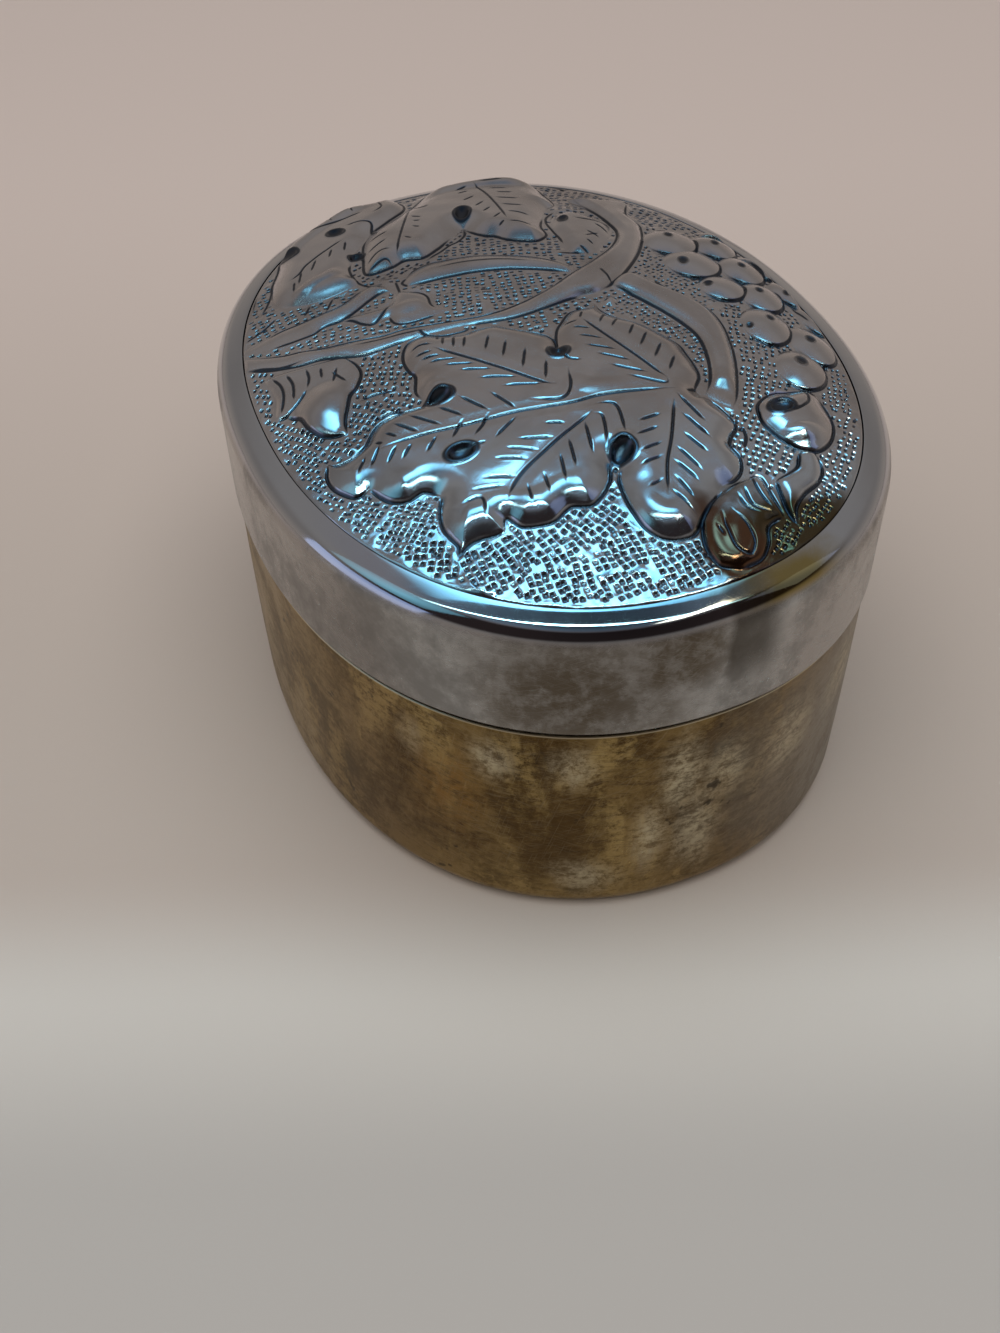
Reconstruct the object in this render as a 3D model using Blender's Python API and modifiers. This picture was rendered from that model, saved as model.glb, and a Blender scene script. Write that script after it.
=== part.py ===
"""Oval trinket box with a chased, domed lift-off lid, in sheet metal.

Metres, +Z up. The box stands on the plane Z = 0 with its long axis along Y. Its origin is the middle of the
face that it rests on. Run it with blender --background --python part.py, or from Blender's text editor.
"""

import math

import bmesh
import bpy
from mathutils import Vector
from mathutils.geometry import delaunay_2d_cdt, intersect_point_line

MM = 0.001

# The oval outside the lid's skirt, which every other oval follows at an inset
BOX_LENGTH = 90.0 * MM
BOX_WIDTH = 72.6 * MM
OVAL_POWER = 2.17
OVAL_SEGMENTS = 80

# Sheet metal and its soldered seams
SHEET = 0.8 * MM
SEAM = 0.3 * MM

# Base: a wall raised with a soft lower edge, and a floor plate let in flush
BASE_HEIGHT = 30.0 * MM
BASE_INSET = 0.4 * MM
BASE_DRAW_IN = 0.4 * MM
BASE_EDGE_RADIUS = 2.4 * MM
BASE_FLANGE = 1.8 * MM
DRAW_IN_POWER = 2.4
BASE_WALL_STEPS = 4
BASE_EDGE_STEPS = 5

# Neck: the collar inside the base that the lid's skirt slides over
NECK_SHEET = 0.7 * MM
NECK_STANDS_PROUD = 5.0 * MM
NECK_REACHES_DOWN = 8.0 * MM

# Lid: a skirt turned over a round shoulder, and the domed panel let in at its border line
LID_REST_GAP = 0.4 * MM
LID_HEIGHT_TO_BORDER = 14.9 * MM
SHOULDER_HEIGHT = 3.6 * MM
SHOULDER_WIDTH = 3.15 * MM
SHOULDER_SWEEP = math.radians(70.0)
SHOULDER_STEPS = 6
PANEL_RISE = 4.6 * MM
PANEL_POWER = 2.2
PANEL_RING_SHARES = (0.95, 0.82, 0.68, 0.54, 0.40, 0.26, 0.12)
PANEL_POINTS_SHARE = 0.5
PANEL_LEAST_POINTS = 6

# The vine pushed up from behind the panel: how far its forms rise
LEAF_RISE = 1.35 * MM
SMALL_LEAF_RISE = 0.9 * MM
STEM_RISE = 1.0 * MM
GRAPE_RISE = 0.95 * MM

# Over how wide an edge its forms rise and how large a grape is, in shares of the panel's half length
LEAF_EDGE_SHARE = 0.031
BROAD_LEAF_EDGE_SHARE = 0.024
SLENDER_LEAF_EDGE_SHARE = 0.018
STEM_EDGE_SHARE = 0.018
GRAPE_LENGTH_SHARE = 0.135
GRAPE_WIDTH_SHARE = 0.106

# How large a grape's top is beside its foot, and how many points draw it
GRAPE_TOP_SHARE = 0.55
GRAPE_POINTS = 8

# No point of the dome lies nearer than this to an outline of the vine
CLEAR_GROUND = 1.2 * MM

# The vine's drawing is turned on the oval. Its points are to the right and away, as seen from its front,
# in shares of the panel's half width and half length, and this is the one beside the other
VINE_TURN = math.radians(-20.7)
DRAWN_WIDTH_SHARE = 0.79
FRONT_LEAF_SHARES = (
    (0.19, 0.12), (0.27, 0.04), (0.40, -0.03), (0.48, -0.12), (0.51, -0.22), (0.50, -0.29), (0.59, -0.37),
    (0.58, -0.47), (0.59, -0.56), (0.53, -0.62), (0.46, -0.73), (0.38, -0.79), (0.28, -0.76), (0.23, -0.66),
    (0.20, -0.57), (0.16, -0.66), (0.06, -0.70), (-0.04, -0.75), (-0.14, -0.75), (-0.27, -0.82), (-0.33, -0.73),
    (-0.34, -0.63), (-0.49, -0.63), (-0.64, -0.59), (-0.70, -0.49), (-0.61, -0.45), (-0.54, -0.36), (-0.38, -0.30),
    (-0.42, -0.20), (-0.47, -0.10), (-0.41, -0.04), (-0.27, -0.03), (-0.13, 0.00), (0.04, -0.06), (0.07, 0.02),
)
MAIN_STEM_SHARES = (
    (-0.93, 0.03), (-0.75, 0.02), (-0.45, 0.05), (-0.19, 0.09), (-0.03, 0.17), (0.09, 0.26), (0.21, 0.37),
    (0.30, 0.52), (0.29, 0.64), (0.19, 0.80), (0.36, 0.79), (0.41, 0.60), (0.37, 0.41), (0.27, 0.24), (0.15, 0.16),
    (0.01, 0.08), (-0.25, 0.02), (-0.50, -0.03), (-0.75, -0.04), (-0.93, -0.04),
)
GRAPE_STEM_SHARES = (
    (0.33, 0.18), (0.43, 0.10), (0.54, -0.04), (0.56, -0.14), (0.54, -0.26), (0.61, -0.30), (0.65, -0.16),
    (0.65, -0.05), (0.60, 0.12), (0.43, 0.23), (0.38, 0.25),
)
LONG_LEAF_SHARES = (
    (-0.46, 0.28), (-0.39, 0.37), (-0.21, 0.40), (0.02, 0.37), (0.09, 0.32), (-0.02, 0.31), (-0.25, 0.30),
)
REAR_LEAF_SHARES = (
    (-0.59, 0.64), (-0.45, 0.82), (-0.32, 0.89), (-0.15, 0.92), (0.00, 0.88), (0.08, 0.78), (0.04, 0.66),
    (0.04, 0.53), (-0.10, 0.51), (-0.27, 0.60), (-0.36, 0.48), (-0.52, 0.39), (-0.62, 0.38), (-0.64, 0.51),
)
BEND_LEAF_SHARES = (
    (0.11, 0.48), (0.09, 0.61), (0.15, 0.69), (0.23, 0.64), (0.25, 0.53), (0.20, 0.44), (0.14, 0.43),
)
LEFT_REAR_LEAF_SHARES = (
    (-0.90, 0.34), (-0.91, 0.48), (-0.81, 0.62), (-0.70, 0.73), (-0.59, 0.81), (-0.54, 0.77), (-0.64, 0.66),
    (-0.69, 0.55), (-0.69, 0.39), (-0.66, 0.32), (-0.77, 0.28),
)
RIDGE_SHARES = (
    (-0.92, 0.09), (-0.79, 0.10), (-0.65, 0.17), (-0.54, 0.25), (-0.62, 0.27), (-0.76, 0.20), (-0.91, 0.15),
)
CURL_SHARES = ((-0.59, 0.11), (-0.43, 0.09), (-0.34, 0.12), (-0.39, 0.19), (-0.49, 0.21), (-0.56, 0.16))
LEFT_LEAF_SHARES = (
    (-0.90, -0.11), (-0.68, -0.09), (-0.61, -0.14), (-0.64, -0.25), (-0.65, -0.35), (-0.75, -0.34), (-0.82, -0.27),
    (-0.87, -0.25),
)
FOLDED_LEAF_SHARES = (
    (0.57, -0.68), (0.51, -0.75), (0.50, -0.82), (0.56, -0.83), (0.63, -0.80), (0.67, -0.73), (0.70, -0.67),
    (0.65, -0.60),
)
BUD_SHARES = ((0.71, -0.34), (0.75, -0.43), (0.86, -0.46), (0.92, -0.37), (0.90, -0.26), (0.79, -0.26))
BUD_LEAF_SHARES = ((0.78, -0.50), (0.73, -0.59), (0.76, -0.67), (0.84, -0.58), (0.84, -0.50))
GRAPE_SHARES = (
    (0.87, -0.13), (0.92, 0.02), (0.78, 0.07), (0.80, 0.24), (0.76, 0.39), (0.65, 0.26), (0.57, 0.39),
    (0.67, 0.53), (0.51, 0.53),
)

# The vine's pieces that are raised alike
STEMS = (MAIN_STEM_SHARES, GRAPE_STEM_SHARES)
BROAD_LEAVES = (REAR_LEAF_SHARES, BEND_LEAF_SHARES, LEFT_LEAF_SHARES, FOLDED_LEAF_SHARES, BUD_SHARES)
SLENDER_LEAVES = (LONG_LEAF_SHARES, LEFT_REAR_LEAF_SHARES, RIDGE_SHARES, CURL_SHARES, BUD_LEAF_SHARES)

# A drawn-in corner moves at most one over this share of the width that its sides move
CORNER_SHARE = 0.6

# Points of the panel nearer than this are one
MERGE_DISTANCE = 0.001 * MM

# Edges sharper than this keep their crease when a sheet is shaded smooth
CREASE_ANGLE = math.radians(40.0)

# Colours as linear RGB, with metallic and roughness
SILVER = ((0.60, 0.57, 0.54), 1.0, 0.24)
DULL_SILVER = ((0.50, 0.47, 0.43), 1.0, 0.34)
TARNISHED_BRASS = ((0.46, 0.35, 0.21), 1.0, 0.36)
PALE_BRASS = ((0.62, 0.50, 0.33), 1.0, 0.30)

LID_SEAT = BASE_HEIGHT + LID_REST_GAP
BORDER_HEIGHT = LID_SEAT + LID_HEIGHT_TO_BORDER
PANEL_INSET = SHOULDER_WIDTH + SEAM


def clear_scene():
    """Remove every object that the file holds."""
    for old in list(bpy.data.objects):
        bpy.data.objects.remove(old, do_unlink=True)


def metal(name, finish):
    """Make a Principled material from a colour, a metallic value and a roughness."""
    colour, metallic, roughness = finish
    material = bpy.data.materials.new(name)
    material.use_nodes = True
    shader = material.node_tree.nodes["Principled BSDF"]
    shader.inputs["Base Color"].default_value = (*colour, 1.0)
    shader.inputs["Metallic"].default_value = metallic
    shader.inputs["Roughness"].default_value = roughness
    return material


def oval_points(inset, height, size_share=1.0):
    """Points of the box's oval, drawn in by an inset and then scaled about its middle."""
    half_width = (BOX_WIDTH / 2 - inset) * size_share
    half_length = (BOX_LENGTH / 2 - inset) * size_share
    points = []
    for step in range(OVAL_SEGMENTS):
        turn = 2 * math.pi * step / OVAL_SEGMENTS
        across = math.cos(turn)
        along = math.sin(turn)
        reach = (abs(across) ** OVAL_POWER + abs(along) ** OVAL_POWER) ** (-1 / OVAL_POWER)
        points.append((half_width * reach * across, half_length * reach * along, height))
    return points


def turn_outwards(mesh):
    """Turn the faces of an open surface away from the middle of the height that it spans."""
    heights = [vertex.co.z for vertex in mesh.verts]
    middle = Vector((0, 0, (min(heights) + max(heights)) / 2))
    outward = sum((face.calc_center_median() - middle).dot(face.normal) * face.calc_area() for face in mesh.faces)
    if outward < 0:
        bmesh.ops.reverse_faces(mesh, faces=mesh.faces)


def make_sheet(name, rings, thickness, material, collection, parent):
    """Loft an open band through ovals and give it a wall inwards."""
    mesh = bmesh.new()
    loops = [[mesh.verts.new(point) for point in points] for points in rings]
    for near, far in zip(loops, loops[1:]):
        for step in range(OVAL_SEGMENTS):
            mesh.faces.new((near[step - 1], near[step], far[step], far[step - 1]))
    mesh.normal_update()
    turn_outwards(mesh)
    return finish_sheet(name, mesh, thickness, material, collection, parent)


def make_plate(name, inset, height, thickness, material, collection, parent):
    """Make a flat oval plate whose lower face lies at a height."""
    mesh = bmesh.new()
    mesh.faces.new([mesh.verts.new(point) for point in oval_points(inset, height + thickness)])
    return finish_sheet(name, mesh, thickness, material, collection, parent)


def finish_sheet(name, mesh, thickness, material, collection, parent):
    """Turn a surface into a named object with a wall of even thickness, placed under its parent."""
    data = bpy.data.meshes.new(name)
    mesh.to_mesh(data)
    mesh.free()
    data.materials.append(material)
    data.shade_smooth()
    data.set_sharp_from_angle(angle=CREASE_ANGLE)
    sheet = bpy.data.objects.new(name, data)
    collection.objects.link(sheet)
    wall = sheet.modifiers.new("wall", "SOLIDIFY")
    wall.thickness = thickness
    wall.offset = -1.0
    wall.use_even_offset = True
    sheet.parent = parent
    sheet.matrix_parent_inverse = parent.matrix_world.inverted()
    return sheet


def add_axis(name, height, collection):
    """Add an empty on the box's vertical axis, which carries the pieces of one body."""
    axis = bpy.data.objects.new(name, None)
    axis.empty_display_size = BASE_HEIGHT
    axis.location = (0, 0, height)
    collection.objects.link(axis)
    bpy.context.view_layer.update()
    return axis


def base_inset(height):
    """How far the base's wall stands in from the lid's skirt at a height."""
    return BASE_INSET + BASE_DRAW_IN * (1 - height / BASE_HEIGHT) ** DRAW_IN_POWER


def base_wall_rings(floor_opening):
    """Ovals of the base's outer face: down the wall, round its lower edge and in along the flange."""
    straight = BASE_HEIGHT - BASE_EDGE_RADIUS
    rings = []
    for step in range(BASE_WALL_STEPS + 1):
        height = BASE_HEIGHT - straight * step / BASE_WALL_STEPS
        rings.append(oval_points(base_inset(height), height))
    for step in range(1, BASE_EDGE_STEPS + 1):
        turn = math.pi / 2 * step / BASE_EDGE_STEPS
        inset = base_inset(BASE_EDGE_RADIUS) + BASE_EDGE_RADIUS * (1 - math.cos(turn))
        rings.append(oval_points(inset, BASE_EDGE_RADIUS * (1 - math.sin(turn))))
    rings.append(oval_points(floor_opening, 0))
    return rings


def build_base(collection, axis):
    """Build the base's wall and floor and the neck soldered inside it."""
    floor_opening = base_inset(BASE_EDGE_RADIUS) + BASE_EDGE_RADIUS + BASE_FLANGE
    wall_metal = metal("tarnished brass", TARNISHED_BRASS)
    floor_metal = metal("brass floor", PALE_BRASS)
    make_sheet("base_wall", base_wall_rings(floor_opening), SHEET, wall_metal, collection, axis)
    make_plate("base_floor", floor_opening + SEAM, 0, SHEET, floor_metal, collection, axis)
    neck_inset = BASE_INSET + SHEET + SEAM
    neck_rings = [
        oval_points(neck_inset, BASE_HEIGHT + NECK_STANDS_PROUD),
        oval_points(neck_inset, BASE_HEIGHT - NECK_REACHES_DOWN),
    ]
    make_sheet("neck_ring", neck_rings, NECK_SHEET, metal("neck silver", DULL_SILVER), collection, axis)


def lid_band_rings():
    """Ovals of the lid's outer face: up the skirt and over the shoulder to the border line."""
    shoulder_foot = BORDER_HEIGHT - SHOULDER_HEIGHT
    across = SHOULDER_WIDTH / (1 - math.cos(SHOULDER_SWEEP))
    upward = SHOULDER_HEIGHT / math.sin(SHOULDER_SWEEP)
    rings = [oval_points(0, LID_SEAT)]
    for step in range(SHOULDER_STEPS + 1):
        turn = SHOULDER_SWEEP * step / SHOULDER_STEPS
        rings.append(oval_points(across * (1 - math.cos(turn)), shoulder_foot + upward * math.sin(turn)))
    return rings


def drawn_point(point_share):
    """Place of a point on the vine's drawing, in shares of the panel's half length both ways."""
    return Vector((point_share[0] * DRAWN_WIDTH_SHARE, point_share[1]))


def on_panel(outline):
    """An outline of the drawing, laid on the panel as seen from above."""
    laid = []
    for drawn in outline:
        across_share = (drawn.x * math.cos(VINE_TURN) - drawn.y * math.sin(VINE_TURN)) / DRAWN_WIDTH_SHARE
        along_share = drawn.x * math.sin(VINE_TURN) + drawn.y * math.cos(VINE_TURN)
        across = across_share * (BOX_WIDTH / 2 - PANEL_INSET)
        laid.append(Vector((across, along_share * (BOX_LENGTH / 2 - PANEL_INSET))))
    return laid


def panel_height(place):
    """Height of the panel's plain dome at a place."""
    across = abs(place.x) / (BOX_WIDTH / 2 - PANEL_INSET)
    along = abs(place.y) / (BOX_LENGTH / 2 - PANEL_INSET)
    rim_share = (across**OVAL_POWER + along**OVAL_POWER) ** (1 / OVAL_POWER)
    return BORDER_HEIGHT + PANEL_RISE * (1 - min(rim_share, 1) ** PANEL_POWER)


def drawn_in(outline, width):
    """A closed outline drawn in by a width, one point for each of its own."""
    turning = sum(here.cross(after) for here, after in zip(outline, outline[1:] + outline[:1]))
    inwards = 1 if turning > 0 else -1
    inner = []
    for number, here in enumerate(outline):
        before = (here - outline[number - 1]).normalized()
        after = (outline[(number + 1) % len(outline)] - here).normalized()
        side = Vector((-before.y, before.x)) * inwards
        middle = (side + Vector((-after.y, after.x)) * inwards).normalized()
        inner.append(here + middle * width / max(middle.dot(side), CORNER_SHARE))
    return inner


def is_inside(outline, place):
    """Whether a place lies within a closed outline."""
    inside = False
    for start, end in zip(outline, outline[1:] + outline[:1]):
        if (start.y > place.y) != (end.y > place.y):
            crossing = start.x + (end.x - start.x) * (place.y - start.y) / (end.y - start.y)
            inside ^= place.x < crossing
    return inside


def distance_to(outline, place):
    """How far a place lies from a closed outline."""
    nearest = math.inf
    for start, end in zip(outline, outline[1:] + outline[:1]):
        foot, share = intersect_point_line(place, start, end)
        if share < 0:
            foot = start
        elif share > 1:
            foot = end
        nearest = min(nearest, (place - foot.to_2d()).length)
    return nearest


def grape_outline(middle, size_share):
    """Oval outline of a grape about its middle on the drawing."""
    points = []
    for step in range(GRAPE_POINTS):
        turn = 2 * math.pi * step / GRAPE_POINTS
        right = GRAPE_WIDTH_SHARE / 2 * size_share * math.cos(turn)
        away = GRAPE_LENGTH_SHARE / 2 * size_share * math.sin(turn)
        points.append(middle + Vector((right, away)))
    return points


def raised_forms():
    """Foot outline, top outline and rise of each form of the vine, laid on the panel."""
    drawn = [(FRONT_LEAF_SHARES, LEAF_RISE, LEAF_EDGE_SHARE)]
    drawn += [(shares, STEM_RISE, STEM_EDGE_SHARE) for shares in STEMS]
    drawn += [(shares, SMALL_LEAF_RISE, BROAD_LEAF_EDGE_SHARE) for shares in BROAD_LEAVES]
    drawn += [(shares, SMALL_LEAF_RISE, SLENDER_LEAF_EDGE_SHARE) for shares in SLENDER_LEAVES]
    forms = []
    for shares, rise, edge_share in drawn:
        foot = [drawn_point(point_share) for point_share in shares]
        forms.append((on_panel(foot), on_panel(drawn_in(foot, edge_share)), rise))
    for middle_share in GRAPE_SHARES:
        middle = drawn_point(middle_share)
        foot = grape_outline(middle, 1)
        top = grape_outline(middle, GRAPE_TOP_SHARE)
        forms.append((on_panel(foot), on_panel(top), GRAPE_RISE))
    return forms


def dome_points(forms):
    """Points of the dome clear of every outline, each with how far it is raised."""
    points = [Vector((0, 0))]
    for ring_share in PANEL_RING_SHARES:
        ring = oval_points(PANEL_INSET, 0, ring_share)
        count = max(PANEL_LEAST_POINTS, round(OVAL_SEGMENTS * PANEL_POINTS_SHARE * ring_share))
        points += [Vector(ring[OVAL_SEGMENTS * step // count][:2]) for step in range(count)]
    kept = []
    for place in points:
        clear = min(min(distance_to(foot, place), distance_to(top, place)) for foot, top, _ in forms)
        if clear > CLEAR_GROUND:
            rise = sum(rise for _, top, rise in forms if is_inside(top, place))
            kept.append((place, rise))
    return kept


def make_panel(name, thickness, material, collection, parent):
    """Make the domed panel with the vine's forms raised on it, as one sheet."""
    forms = raised_forms()
    rim = [Vector(point[:2]) for point in oval_points(PANEL_INSET, 0)]
    places = [(place, 0) for place in rim]
    edges = [(step - 1 if step else len(rim) - 1, step) for step in range(len(rim))]
    for foot, top, rise in forms:
        for outline, height in ((foot, 0), (top, rise)):
            first = len(places)
            places += [(place, height) for place in outline]
            edges += [(first + step, first + (step + 1) % len(outline)) for step in range(len(outline))]
    places += dome_points(forms)
    flat_places = [place for place, _ in places]
    found, _, triangles, sources, *_ = delaunay_2d_cdt(flat_places, edges, [], 0, MERGE_DISTANCE)
    mesh = bmesh.new()
    corners = []
    for place, source in zip(found, sources):
        rise = places[source[0]][1]
        corners.append(mesh.verts.new((place.x, place.y, panel_height(place) + rise)))
    for triangle in triangles:
        mesh.faces.new([corners[number] for number in triangle])
    mesh.normal_update()
    turn_outwards(mesh)
    return finish_sheet(name, mesh, thickness, material, collection, parent)


def build_lid(collection, axis):
    """Build the lid's band and the domed panel with its raised vine."""
    make_sheet("lid_band", lid_band_rings(), SHEET, metal("lid silver", SILVER), collection, axis)
    make_panel("lid_panel", SHEET, metal("chased silver", SILVER), collection, axis)


def main():
    """Build the whole box."""
    clear_scene()
    collection = bpy.data.collections.new("trinket_box")
    bpy.context.scene.collection.children.link(collection)
    build_base(collection, add_axis("base_axis", 0, collection))
    build_lid(collection, add_axis("lid_lift_axis", LID_SEAT, collection))


main()
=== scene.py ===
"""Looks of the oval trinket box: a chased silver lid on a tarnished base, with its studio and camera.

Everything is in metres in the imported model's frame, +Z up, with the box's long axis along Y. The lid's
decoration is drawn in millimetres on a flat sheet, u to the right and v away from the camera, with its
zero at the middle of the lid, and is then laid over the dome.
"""

import logging
import math
from dataclasses import dataclass, field
from enum import Enum

import bpy
import numpy as np
from mathutils import Matrix, Vector


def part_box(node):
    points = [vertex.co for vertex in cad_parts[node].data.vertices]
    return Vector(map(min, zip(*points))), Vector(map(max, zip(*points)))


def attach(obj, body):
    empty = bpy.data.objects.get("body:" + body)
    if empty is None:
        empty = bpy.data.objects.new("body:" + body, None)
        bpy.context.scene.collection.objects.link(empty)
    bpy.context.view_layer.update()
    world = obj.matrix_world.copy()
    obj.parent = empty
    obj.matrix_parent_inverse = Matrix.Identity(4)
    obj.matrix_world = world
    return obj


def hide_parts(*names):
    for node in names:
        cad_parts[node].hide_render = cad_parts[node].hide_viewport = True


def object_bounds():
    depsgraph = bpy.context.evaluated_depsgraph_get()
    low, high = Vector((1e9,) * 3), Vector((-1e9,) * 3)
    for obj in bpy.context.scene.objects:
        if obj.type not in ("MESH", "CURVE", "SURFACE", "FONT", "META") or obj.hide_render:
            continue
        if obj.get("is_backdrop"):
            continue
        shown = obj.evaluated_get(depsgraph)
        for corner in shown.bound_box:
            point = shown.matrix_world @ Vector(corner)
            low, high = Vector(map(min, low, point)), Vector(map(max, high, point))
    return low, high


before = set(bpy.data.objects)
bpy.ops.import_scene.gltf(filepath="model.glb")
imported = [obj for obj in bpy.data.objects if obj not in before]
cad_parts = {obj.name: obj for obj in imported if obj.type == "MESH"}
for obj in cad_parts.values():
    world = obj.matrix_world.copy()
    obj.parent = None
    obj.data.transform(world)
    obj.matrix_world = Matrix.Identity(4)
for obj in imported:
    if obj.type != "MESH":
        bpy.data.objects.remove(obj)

MM = 0.001
LOG = logging.getLogger("trinket_box")

Point = tuple[float, float]
Line = tuple[Point, ...]
Colour = tuple[float, float, float]


class Body(Enum):
    """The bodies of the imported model."""

    BASE = "base"
    LID = "lid"


class Slot(Enum):
    """The record's material slots."""

    BASE_WALL = "tarnished_base"
    BASE_FLOOR = "base_floor_brass"
    NECK = "neck_silver"
    LID_BAND = "lid_silver"
    LID_PANEL = "chased_silver"


def box_of(node: str) -> tuple[Vector, Vector]:
    """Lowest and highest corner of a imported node, in metres."""
    low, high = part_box(node)
    return Vector(low), Vector(high)


def ease(share: np.ndarray) -> np.ndarray:
    """Smooth step from 0 to 1 over a share clipped to that range."""
    share = np.clip(share, 0.0, 1.0)
    return share * share * (3.0 - 2.0 * share)


# Ovals and lofts


@dataclass(frozen=True)
class Oval:
    """The box's outer oval, a superellipse fuller than an ellipse, that every ring follows at an inset."""

    half_width: float
    half_length: float
    power: float = 2.17

    def points(self, turns: np.ndarray, inset: np.ndarray | float = 0.0,
               share: np.ndarray | float = 1.0) -> tuple[np.ndarray, np.ndarray]:
        """X and Y of points round the oval.

        Args:
            turns: Angle parameter of each point, in radians.
            inset: How far the oval is drawn in from the outermost one, in metres.
            share: Share of the drawn-in oval's size, from 0 at the middle to 1.

        Returns:
            The points' X and their Y.
        """
        across, along = np.cos(turns), np.sin(turns)
        reach = (np.abs(across) ** self.power + np.abs(along) ** self.power) ** (-1.0 / self.power)
        return ((self.half_width - inset) * share * reach * across,
                (self.half_length - inset) * share * reach * along)


def mesh_from(name: str, corners: np.ndarray, faces: list | np.ndarray,
              material: bpy.types.Material) -> bpy.types.Object:
    """Make an object at the origin from corner places and faces, smoothly shaded."""
    mesh = bpy.data.meshes.new(name)
    mesh.from_pydata(corners.tolist(), [], faces.tolist() if isinstance(faces, np.ndarray) else faces)
    mesh.materials.append(material)
    mesh.shade_smooth()
    made = bpy.data.objects.new(name, mesh)
    bpy.context.scene.collection.objects.link(made)
    return made


def loft(name: str, rings: list[np.ndarray], material: bpy.types.Material,
         caps: bool = False) -> bpy.types.Object:
    """Join rings of equal count into one closed skin whose faces point outwards.

    Args:
        name: The new object's name.
        rings: Rings of points, in order round the sheet's section, or from one cap to the other.
        material: The finish.
        caps: Close the first and the last ring with fans to a middle point, and don't join them.

    Returns:
        The new object.
    """
    count = len(rings[0])
    corners = np.concatenate(rings)
    steps = np.arange(count)
    after = (steps + 1) % count
    pairs = [(i, i + 1) for i in range(len(rings) - 1)]
    if not caps:
        pairs.append((len(rings) - 1, 0))
    faces = [np.stack([a * count + steps, a * count + after, b * count + after, b * count + steps],
                      1) for a, b in pairs]
    quads = np.concatenate(faces).tolist()
    if caps:
        first, last = rings[0].mean(0), rings[-1].mean(0)
        corners = np.concatenate([corners, [first, last]])
        start = (len(rings) - 1) * count
        quads += [[int(b), int(a), len(corners) - 2] for a, b in zip(steps, after)]
        quads += [[int(start + a), int(start + b), len(corners) - 1] for a, b in zip(steps, after)]
    made = mesh_from(name, corners, quads, material)
    made.data.calc_loop_triangles()
    triangles = np.empty(len(made.data.loop_triangles) * 3, np.int32)
    made.data.loop_triangles.foreach_get("vertices", triangles)
    a, b, c = (corners[triangles.reshape(-1, 3)[:, k]] for k in range(3))
    if np.einsum("ij,ij->i", a, np.cross(b, c)).sum() < 0:
        made.data.flip_normals()
    return made


# Drawing on the sheet


def smooth_line(points: Line, closed: bool = False, step: float = 0.3) -> np.ndarray:
    """Points along a smooth curve through drawn ones.

    Args:
        points: The drawn points, in millimetres.
        closed: Whether the curve comes back to its start.
        step: Spacing of the returned points, in millimetres.

    Returns:
        An array of points, two columns.
    """
    drawn = np.array(points, float)
    if closed:
        around = np.concatenate([drawn[-1:], drawn, drawn[:2]])
    else:
        around = np.concatenate([2 * drawn[:1] - drawn[1:2], drawn, 2 * drawn[-1:] - drawn[-2:-1]])
    pieces = []
    for before, start, end, after in zip(around, around[1:], around[2:], around[3:]):
        count = max(2, int(np.ceil(np.linalg.norm(end - start) / step)))
        t = np.linspace(0, 1, count, endpoint=False)[:, None]
        pieces.append(0.5 * (2 * start + (end - before) * t
                             + (2 * before - 5 * start + 4 * end - after) * t**2
                             + (3 * start - before - 3 * end + after) * t**3))
    if not closed:
        pieces.append(drawn[-1:])
    return np.concatenate(pieces)


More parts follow.
